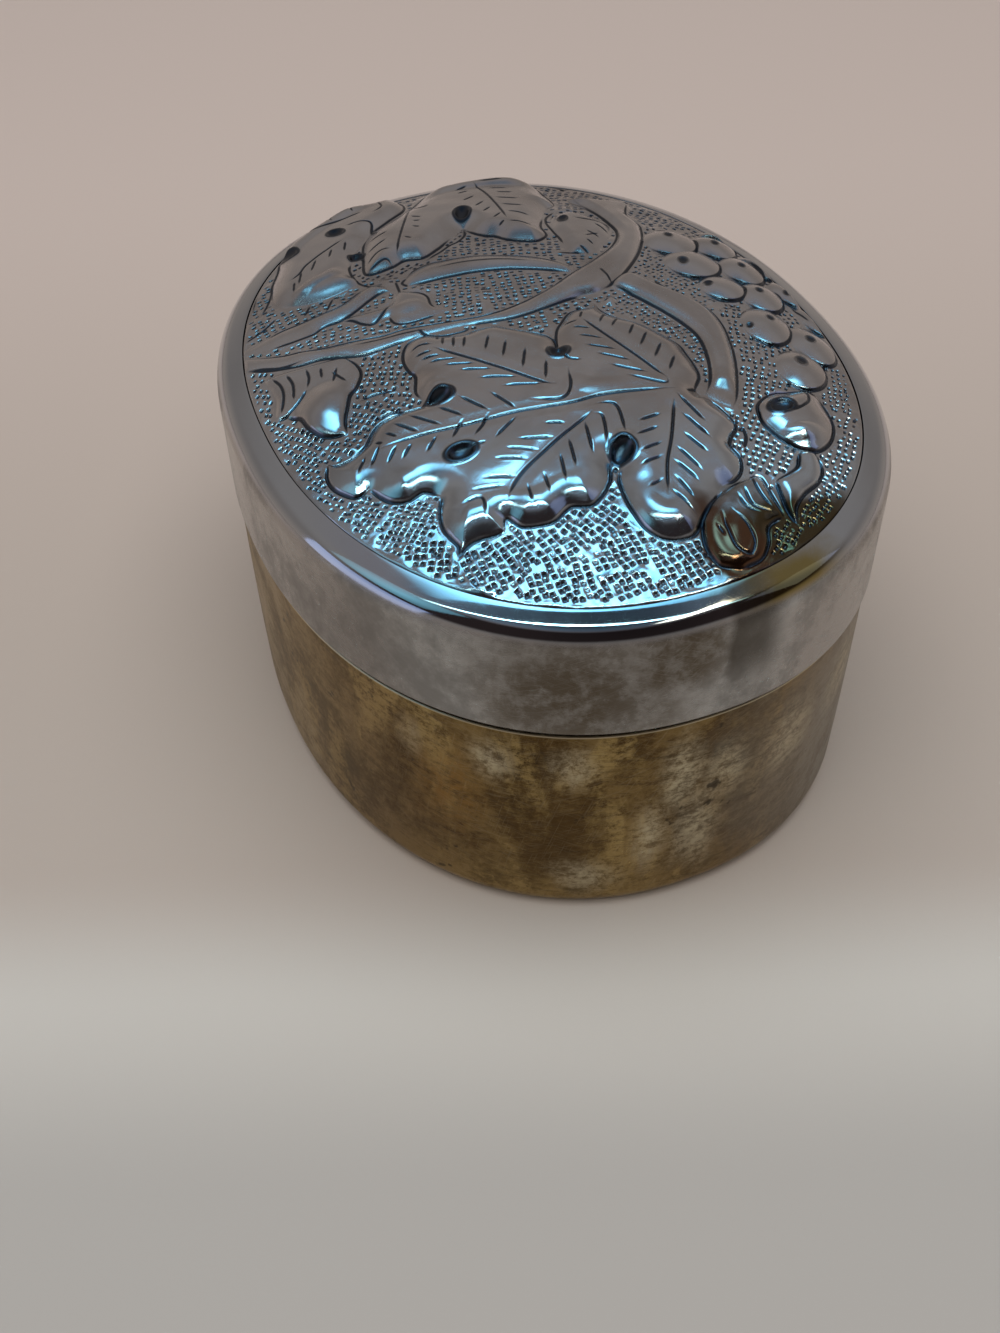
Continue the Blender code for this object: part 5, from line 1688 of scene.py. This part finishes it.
@dataclass(frozen=True)
class SkirtSilver:
    """Plain silver, polished on its shoulder, with cloudy smudges and fine scratches on its skirt, a painted
    dark reflection on the front of its shoulder, and a band of painted shade down the front of its skirt.
    """

    bright: Colour = (0.43, 0.412, 0.398)
    smoky: Colour = (0.185, 0.175, 0.165)
    brown: Colour = (0.125, 0.098, 0.07)
    olive: Colour = (0.05, 0.038, 0.026)
    gilt: Colour = (0.37, 0.29, 0.11)
    shoulder: Colour = (0.56, 0.58, 0.61)
    slate: Colour = (0.20, 0.21, 0.23)

    def material(self) -> bpy.types.Material:
        """The finish's material."""
        graph = Graph("skirt silver")
        cloud = graph.noise(60.0, 6.0, 0.62, graph.stretched((1.0, 1.0, 1.5)), 0.4)
        fine = graph.noise(420.0, 5.0, 0.7)
        hairs = graph.hairs(900.0, 3)
        mottle = graph.plus(graph.times(cloud, 0.68), graph.times(fine, 0.32))
        colour = graph.blend(graph.spread(mottle, 0.45, 0.62, 0.0, 0.75), self.bright, self.smoky)
        cool = graph.patch((-30.0, -25.0, 35.0), (9.0, 12.0, 9.0), cloud, 0.9)
        colour = graph.blend(graph.times(cool, 0.55), colour, self.smoky)
        stains = graph.patch((-14.0, -42.0, 36.0), (15.0, 10.0, 12.0), cloud, 0.8)
        stains = graph.calc("MAXIMUM", stains,
                            graph.patch((-4.0, -44.5, 40.0), (9.0, 6.0, 6.0), cloud, 0.7))
        stains = graph.times(stains, graph.spread(fine, 0.3, 0.6, 0.55, 1.0))
        colour = graph.blend(stains, colour, self.brown)
        colour = graph.blend(graph.times(hairs, 0.12), colour, self.bright)
        parts = graph.add("ShaderNodeSeparateXYZ")
        graph.feed(parts.inputs[0], graph.places)
        polished = graph.spread(parts.outputs[2], 43.0 * MM, 43.9 * MM)
        colour = graph.blend(graph.times(polished, 0.9), colour, self.shoulder)
        # Painted reflection: a dark blue-grey patch on the front of the polished shoulder, standing in for
        # the dark band that it would reflect.
        painted_dark_reflection = graph.times(graph.patch((-9.0, -41.5, 46.0), (11.0, 6.0, 5.0), cloud, 0.9), polished)
        colour = graph.blend(graph.times(painted_dark_reflection, 0.75), colour, self.slate)
        gilding = graph.patch((9.0, -42.5, 44.0), (9.0, 6.0, 4.0), cloud, 0.6)
        colour = graph.blend(graph.times(gilding, polished), colour, self.gilt)
        # Painted shade: a dark band down the skirt's front, right of the middle, fainter lower down and on
        # the polished shoulder.
        ragged = graph.times(graph.calc("SUBTRACT", cloud, 0.5), 6.0 * MM)
        across = graph.plus(parts.outputs[0], ragged)
        band = graph.times(graph.spread(across, 0.9 * MM, 2.4 * MM),
                           graph.spread(across, 8.6 * MM, 5.2 * MM))
        band = graph.times(band, graph.spread(parts.outputs[2], 33.0 * MM, 38.5 * MM, 0.3, 1.0))
        band = graph.times(band, graph.spread(parts.outputs[1], -20.0 * MM, -30.0 * MM))
        band = graph.times(band, graph.spread(mottle, 0.3, 0.6, 0.95, 0.7))
        band = graph.times(band, graph.spread(polished, 0.0, 1.0, 1.0, 0.55))
        colour = graph.blend(band, colour, self.olive)
        dull = graph.plus(graph.spread(mottle, 0.4, 0.65, 0.2, 0.34), graph.times(hairs, 0.08))
        rough = graph.times(dull, graph.spread(polished, 0.0, 1.0, 1.0, 0.28))
        worn_smooth = graph.spread(polished, 0.0, 1.0, 1.0, 0.1)
        normal = graph.bump(graph.times(hairs, worn_smooth), 0.006, 0.4)
        normal = graph.bump(graph.noise(140.0, 2.0, 0.5), 0.05, 0.25, normal)
        return graph.finish(colour, 1.0, rough, normal)


@dataclass(frozen=True)
class TarnishedBrass:
    """Plate gone brown, gold and grey, with worn pale patches, a net of fine scratches, and painted
    highlights along its top and lower edges.
    """

    black: Colour = (0.032, 0.022, 0.012)
    brown: Colour = (0.088, 0.047, 0.012)
    umber: Colour = (0.215, 0.138, 0.05)
    gold: Colour = (0.42, 0.295, 0.115)
    amber: Colour = (0.25, 0.125, 0.025)
    grey: Colour = (0.27, 0.235, 0.18)
    cream: Colour = (0.60, 0.52, 0.36)

    def material(self) -> bpy.types.Material:
        """The finish's material."""
        graph = Graph("tarnished base")
        cloud = graph.noise(95.0, 6.0, 0.65, graph.stretched((1.0, 1.0, 1.5)), 0.3)
        drift = graph.noise(120.0, 5.0, 0.65, graph.stretched((1.0, 1.0, 2.6)), 0.5)
        speckle = graph.noise(1300.0, 6.0, 0.8)
        rubbed = graph.noise(330.0, 6.0, 0.7, graph.stretched((1.0, 1.0, 0.45), (0.1, -0.14, 0.0)), 0.5)
        rubbed = graph.plus(graph.times(rubbed, 0.5), graph.times(speckle, 0.5))
        hairs = graph.hairs(900.0, 4)
        mottle = graph.plus(graph.times(cloud, 0.55), graph.times(rubbed, 0.45))
        colour = graph.blend(graph.spread(mottle, 0.44, 0.58), self.brown, self.umber)
        colour = graph.blend(graph.spread(mottle, 0.45, 0.37, 0.0, 0.7), colour, self.black)
        streaks = graph.times(graph.spread(drift, 0.5, 0.62), graph.spread(rubbed, 0.4, 0.56))
        colour = graph.blend(graph.times(streaks, 0.7), colour, self.gold)
        left = graph.patch((-38.0, -2.0, 17.0), (10.0, 38.0, 40.0), cloud, 0.9)
        left = graph.calc("MAXIMUM", left,
                          graph.patch((-20.0, -40.0, 0.0), (30.0, 30.0, 9.0), cloud, 0.9))
        colour = graph.blend(graph.times(left, graph.spread(mottle, 0.4, 0.56, 0.25, 0.75)), colour,
                             self.gold)
        right = graph.patch((22.0, -40.0, 14.0), (21.0, 30.0, 28.0), cloud, 0.7)
        right = graph.calc("MAXIMUM", right,
                           graph.patch((0.0, 46.0, 16.0), (40.0, 46.0, 40.0), cloud, 0.7))
        colour = graph.blend(graph.times(right, graph.spread(mottle, 0.4, 0.56, 0.55, 0.95)), colour,
                             self.grey)
        burnt = graph.patch((-16.5, -41.6, 13.0), (7.5, 4.5, 10.0), cloud, 0.8)
        colour = graph.blend(graph.times(burnt, graph.spread(speckle, 0.35, 0.55, 1.0, 0.7)), colour,
                             self.brown)
        honey = graph.patch((-26.0, -34.6, 18.5), (4.4, 5.0, 9.0), drift, 0.9)
        colour = graph.blend(graph.times(honey, graph.spread(rubbed, 0.42, 0.56, 0.2, 0.9)), colour,
                             self.amber)
        worn = None
        for place, size in (
                ((-29.0, -31.0, 24.5), (2.4, 2.6, 4.0)), ((-21.6, -38.0, 25.0), (3.4, 3.0, 3.6)),
                ((-14.0, -42.2, 25.0), (3.6, 3.0, 3.6)), ((-5.6, -44.4, 12.0), (2.4, 3.0, 7.0)),
                ((-2.4, -45.0, 22.0), (2.8, 3.0, 6.0)), ((-12.5, -43.0, 6.0), (5.0, 3.0, 3.6)),
                ((0.2, -45.0, 11.5), (3.4, 3.0, 7.5)), ((3.4, -45.0, 20.0), (3.0, 3.0, 5.0)),
                ((12.0, -43.2, 20.0), (5.0, 3.0, 6.0)), ((22.0, -38.0, 22.0), (4.0, 5.0, 6.0)),
                ((34.0, -12.0, 18.0), (3.0, 10.0, 6.0)), ((-12.0, 42.0, 17.0), (9.0, 4.0, 6.0)),
                ((18.0, 39.0, 13.0), (6.0, 4.0, 8.0))):
            spot = graph.patch(place, size, drift, 0.95)
            worn = spot if worn is None else graph.calc("MAXIMUM", worn, spot)
        colour = graph.blend(graph.times(worn, graph.spread(rubbed, 0.41, 0.59, 0.14, 0.78)), colour,
                             self.cream)
        scratched = graph.noise(240.0, 2.0, 0.5, graph.stretched((1.0, 1.0, 0.04), (0.16, 0.1, 0.0)))
        colour = graph.blend(graph.spread(scratched, 0.6, 0.7, 0.0, 0.4), colour, self.black)
        colour = graph.blend(graph.times(hairs, 0.09), colour, self.cream)
        colour = graph.blend(graph.spread(graph.noise(260.0, 3.0, 0.7), 0.66, 0.72, 0.0, 0.8), colour,
                             self.black)
        parts = graph.add("ShaderNodeSeparateXYZ")
        graph.feed(parts.inputs[0], graph.places)
        # Painted highlights: pale lines along the wall's top edge and its rounded lower edge.
        painted_edge_highlights = graph.calc("MAXIMUM", graph.spread(parts.outputs[2], 29.72 * MM, 29.92 * MM),
                          graph.spread(parts.outputs[2], 1.4 * MM, 0.5 * MM, 0.0, 0.55))
        colour = graph.blend(painted_edge_highlights, colour, self.cream)
        rough = graph.plus(graph.spread(mottle, 0.38, 0.66, 0.42, 0.26), graph.times(hairs, 0.06))
        normal = graph.bump(hairs, 0.008, 0.4)
        normal = graph.bump(rubbed, 0.014, 0.5, normal)
        normal = graph.bump(graph.noise(110.0, 2.0, 0.5), 0.06, 0.25, normal)
        return graph.finish(colour, 1.0, rough, normal)


@dataclass(frozen=True)
class PlainBrass:
    """Dull brass of the floor plate and, paler, of the neck, with light scratches."""

    name: str = "floor brass"
    colour: Colour = (0.52, 0.40, 0.24)
    dull: Colour = (0.34, 0.26, 0.16)
    roughness: float = 0.34

    def material(self) -> bpy.types.Material:
        """The finish's material."""
        graph = Graph(self.name)
        cloud = graph.noise(60.0, 5.0, 0.6)
        colour = graph.blend(graph.spread(cloud, 0.4, 0.66), self.colour, self.dull)
        lines = graph.noise(160.0, 3.0, 0.6, graph.stretched((1.0, 0.03, 1.0), (0.0, 0.0, 0.7)))
        rough = graph.spread(cloud, 0.3, 0.7, self.roughness - 0.06, self.roughness + 0.1)
        return graph.finish(colour, 1.0, rough, graph.bump(lines, 0.01, 0.5))


@dataclass(frozen=True)
class PaleCloth:
    """The pale floor, warmer behind the box and greyer in front of it, with light and shade painted in: a
    painted pool of light just in front of the box, and painted shade round its foot and further forward.
    """

    front: Colour = (0.575, 0.57, 0.55)
    near: Colour = (0.74, 0.735, 0.70)
    beside: Colour = (0.60, 0.54, 0.49)
    far: Colour = (0.75, 0.66, 0.615)

    def material(self) -> bpy.types.Material:
        """The finish's material."""
        graph = Graph("pale floor")
        away = graph.away()
        # Painted light and shade in bands by distance from the camera: darker in front, a painted pool of
        # light just before the box, painted shade round its foot, warmer behind.
        colour = graph.blend(graph.spread(away, -0.078, -0.054), self.front, self.near)
        colour = graph.blend(graph.spread(away, -0.056, -0.036), colour, self.beside)
        colour = graph.blend(graph.spread(away, -0.02, 0.14), colour, self.far)
        grain = graph.noise(1500.0, 3.0, 0.6)
        return graph.finish(colour, 0.0, 0.85, graph.bump(grain, 0.05, 0.15))


# Studio and camera


class Reaches(Enum):
    """What a lamp lights: matt surfaces such as the floor, what polished metal reflects, or both."""

    MATT = "matt"
    GLOSS = "gloss"
    BOTH = "both"


@dataclass(frozen=True)
class Softbox:
    """A soft lamp that faces the box.

    turn and rise place it round the spot that it faces, in degrees: turn 0 is the camera's side and 90 its
    right, rise is above the floor. That spot lies forward of the box's middle, and aside to its right, by
    some metres.
    """

    name: str
    turn: float
    rise: float
    distance: float
    size: Point
    watts: float
    colour: Colour
    reaches: Reaches = Reaches.BOTH
    forward: float = 0.0
    spread: float = math.pi
    aside: float = 0.0

    def place(self, target: Vector) -> bpy.types.Object:
        """Put the lamp up."""
        light = bpy.data.lights.new(self.name, "AREA")
        light.shape = "RECTANGLE"
        light.size, light.size_y = self.size
        light.energy = self.watts
        light.color = self.colour
        light.spread = self.spread
        target = target + Vector((math.sin(CAMERA_TURN), -math.cos(CAMERA_TURN), 0.0)) * self.forward
        target = target + Vector((math.cos(CAMERA_TURN), math.sin(CAMERA_TURN), 0.0)) * self.aside
        lamp = bpy.data.objects.new(self.name, light)
        bpy.context.scene.collection.objects.link(lamp)
        turn, rise = CAMERA_TURN + math.radians(self.turn), math.radians(self.rise)
        way = Vector((math.sin(turn) * math.cos(rise), -math.cos(turn) * math.cos(rise), math.sin(rise)))
        lamp.location = target + way * self.distance
        lamp.rotation_mode = "QUATERNION"
        lamp.rotation_quaternion = (-way).to_track_quat("-Z", "Y")
        lamp.visible_camera = False
        lamp.visible_diffuse = self.reaches is not Reaches.GLOSS
        lamp.visible_glossy = self.reaches is not Reaches.MATT
        return lamp


@dataclass
class Studio:
    """The pale floor, the soft lamps and the air's own light."""

    floor_radius: float = 1.4
    floor_points: int = 96
    lamp_target: float = 0.03
    horizon: Colour = (0.33, 0.285, 0.255)
    low: Colour = (0.225, 0.205, 0.195)
    middle: Colour = (0.27, 0.255, 0.25)
    high: Colour = (0.25, 0.24, 0.26)
    blue: Colour = (0.14, 0.19, 0.25)
    crown: Colour = (0.07, 0.11, 0.15)
    behind_camera: Colour = (0.028, 0.02, 0.02)
    dark_turn: float = 4.0
    dark_half_turn: float = math.radians(74.0)
    dark_soft_turn: float = math.radians(32.0)
    dark_low: float = math.radians(26.0)
    dark_high: float = math.radians(55.0)
    dark_soft_rise: float = math.radians(11.0)
    lamps: tuple[Softbox,
                 ...] = (Softbox("floor_light", -10.0, 80.0, 0.9, (1.1, 1.1), 6.8, (1.0, 0.94, 0.88),
                                 Reaches.MATT),
                         Softbox("sky", 180.0, 72.0, 0.12, (0.22, 0.045), 0.0110, (0.22, 0.68, 1.0),
                                 Reaches.GLOSS, 0.034, 0.8),
                         Softbox("gleam", 0.0, 82.0, 0.12, (0.30, 0.005), 0.0190, (0.50, 0.92, 1.0),
                                 Reaches.GLOSS, 0.03, 1.15),
                         Softbox("window", -78.0, 46.0, 0.15, (0.085, 0.06), 0.0009, (0.30, 0.78, 1.0),
                                 Reaches.GLOSS, 0.03, 0.9),
                         Softbox("glint", 70.0, 76.0, 0.08, (0.05, 0.008), 0.0010, (0.95, 0.93, 0.74),
                                 Reaches.GLOSS, 0.036, 0.55, 0.024),
                         Softbox("haze", -74.0, 16.0, 0.6, (0.42, 0.24), 0.22, (0.48, 0.62, 1.0),
                                 Reaches.GLOSS),
                         Softbox("far_window", 84.0, 40.0, 0.6, (0.22, 0.26), 0.06, (0.50, 0.62, 1.0),
                                 Reaches.GLOSS), )

    def air(self) -> bpy.types.World:
        """The light that comes from all round, by the direction that it comes from.

        Returns:
            A world that is warm and pale low down, bluer overhead, and dark behind the camera.
        """
        world = bpy.data.worlds.new("studio air")
        world.use_nodes = True
        tree = world.node_tree
        way = tree.nodes.new("ShaderNodeTexCoord").outputs["Generated"]
        parts = tree.nodes.new("ShaderNodeSeparateXYZ")
        tree.links.new(way, parts.inputs[0])
        ramp = tree.nodes.new("ShaderNodeValToRGB")
        ramp.color_ramp.interpolation = "EASE"
        for place, colour in (
                (0.0, self.horizon), (0.42, self.low), (0.66, self.middle), (0.85, self.high),
                (0.92, self.blue)):
            stop = ramp.color_ramp.elements.new(place)
            stop.color = (*colour, 1.0)
        ramp.color_ramp.elements.remove(ramp.color_ramp.elements[0])
        ramp.color_ramp.elements[-1].position = 0.99
        ramp.color_ramp.elements[-1].color = (*self.crown, 1.0)
        tree.links.new(parts.outputs[2], ramp.inputs[0])
        turn = CAMERA_TURN + math.radians(self.dark_turn)
        level = tree.nodes.new("ShaderNodeVectorMath")
        level.operation = "MULTIPLY"
        level.inputs[1].default_value = (1.0, 1.0, 0.0)
        tree.links.new(way, level.inputs[0])
        straight = tree.nodes.new("ShaderNodeVectorMath")
        straight.operation = "NORMALIZE"
        tree.links.new(level.outputs[0], straight.inputs[0])
        facing = tree.nodes.new("ShaderNodeVectorMath")
        facing.operation = "DOT_PRODUCT"
        facing.inputs[1].default_value = (math.sin(turn), -math.cos(turn), 0.0)
        tree.links.new(straight.outputs[0], facing.inputs[0])
        share = None
        for value, start, full in (
                (facing.outputs["Value"], math.cos(self.dark_half_turn + self.dark_soft_turn),
                 math.cos(self.dark_half_turn)),
                (parts.outputs[2], math.sin(self.dark_low - self.dark_soft_rise),
                 math.sin(self.dark_low)),
                (parts.outputs[2], math.sin(self.dark_high + self.dark_soft_rise),
                 math.sin(self.dark_high))):
            edge = tree.nodes.new("ShaderNodeMapRange")
            edge.interpolation_type = "SMOOTHSTEP"
            edge.inputs["From Min"].default_value = start
            edge.inputs["From Max"].default_value = full
            tree.links.new(value, edge.inputs["Value"])
            if share is None:
                share = edge.outputs[0]
                continue
            both = tree.nodes.new("ShaderNodeMath")
            both.operation = "MULTIPLY"
            tree.links.new(share, both.inputs[0])
            tree.links.new(edge.outputs[0], both.inputs[1])
            share = both.outputs[0]
        mixed = tree.nodes.new("ShaderNodeMix")
        mixed.data_type = "RGBA"
        mixed.inputs[7].default_value = (*self.behind_camera, 1.0)
        tree.links.new(share, mixed.inputs["Factor"])
        tree.links.new(ramp.outputs[0], mixed.inputs[6])
        tree.links.new(mixed.outputs[2], tree.nodes["Background"].inputs["Color"])
        return world

    def build(self) -> None:
        """Lay the floor, hang the lamps and light the air."""
        count = self.floor_points
        turns = np.linspace(0, 2 * math.pi, count, endpoint=False)
        rings = [np.stack([radius * np.cos(turns), radius * np.sin(turns), np.zeros_like(turns)], 1)
                 for radius in (0.05, 0.2, 0.6, self.floor_radius)]
        corners = np.concatenate([*rings, [[0.0, 0.0, 0.0]]])
        faces = []
        for ring in range(len(rings) - 1):
            near, far = ring * count, (ring + 1) * count
            for step in range(count):
                after = (step + 1) % count
                faces.append((near + step, far + step, far + after, near + after))
        faces += [(len(corners) - 1, step, (step + 1) % count) for step in range(count)]
        floor = mesh_from("studio_floor", corners, faces, PaleCloth().material())
        floor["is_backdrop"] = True
        for lamp in self.lamps:
            lamp.place(Vector((0.0, 0.0, self.lamp_target)))
        bpy.context.scene.world = self.air()
        view = bpy.context.scene.view_settings
        view.view_transform = "Standard"
        view.look = "None"
        view.exposure = 0.0


@dataclass(frozen=True)
class PhotographCamera:
    """The camera that sees the box as the photograph does."""

    frame_width: int = 1000
    frame_height: int = 1333
    focal_pixels: float = 1500.0
    sensor: float = 36.0
    pitch: float = 0.80
    roll: float = -0.025
    distance: float = 207.9
    aside: float = -5.54
    above: float = -4.68

    def build(self) -> bpy.types.Object:
        """Set the camera up and make it the scene's."""
        data = bpy.data.cameras.new("photograph")
        data.sensor_fit = "AUTO"
        data.sensor_width = self.sensor
        data.lens = self.focal_pixels / max(self.frame_width, self.frame_height) * self.sensor
        data.clip_start, data.clip_end = 0.01, 20.0
        camera = bpy.data.objects.new("photograph", data)
        bpy.context.scene.collection.objects.link(camera)
        s, c = math.sin(-CAMERA_TURN), math.cos(CAMERA_TURN)
        right = Vector((c, -s, 0.0))
        ahead = Vector((s * math.cos(self.pitch), c * math.cos(self.pitch), -math.sin(self.pitch)))
        up = right.cross(ahead)
        aim = right * self.aside + Vector((0.0, 0.0, self.above))
        place = (aim - ahead * self.distance) * MM
        x = right * math.cos(self.roll) + up * math.sin(self.roll)
        y = up * math.cos(self.roll) - right * math.sin(self.roll)
        turned = Matrix((x, y, -ahead)).transposed().to_4x4()
        camera.matrix_world = Matrix.Translation(place) @ turned
        bpy.context.scene.camera = camera
        return camera


def main() -> None:
    """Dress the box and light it."""
    logging.basicConfig(level=logging.INFO, format="%(name)s %(message)s")
    cad_low, cad_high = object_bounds()
    PhotographCamera().build()
    Studio().build()
    oval = Oval(cad_high.x, cad_high.y)
    neck = PlainBrass("neck silver", (0.56, 0.53, 0.48), (0.40, 0.36, 0.30), 0.3)
    Base(oval).build(TarnishedBrass().material(), neck.material(), PlainBrass().material())
    LidBand(oval).build(SkirtSilver().material())
    ChasedPanel().build(ChasedSilver().material())


if __name__ == "__main__":
    main()
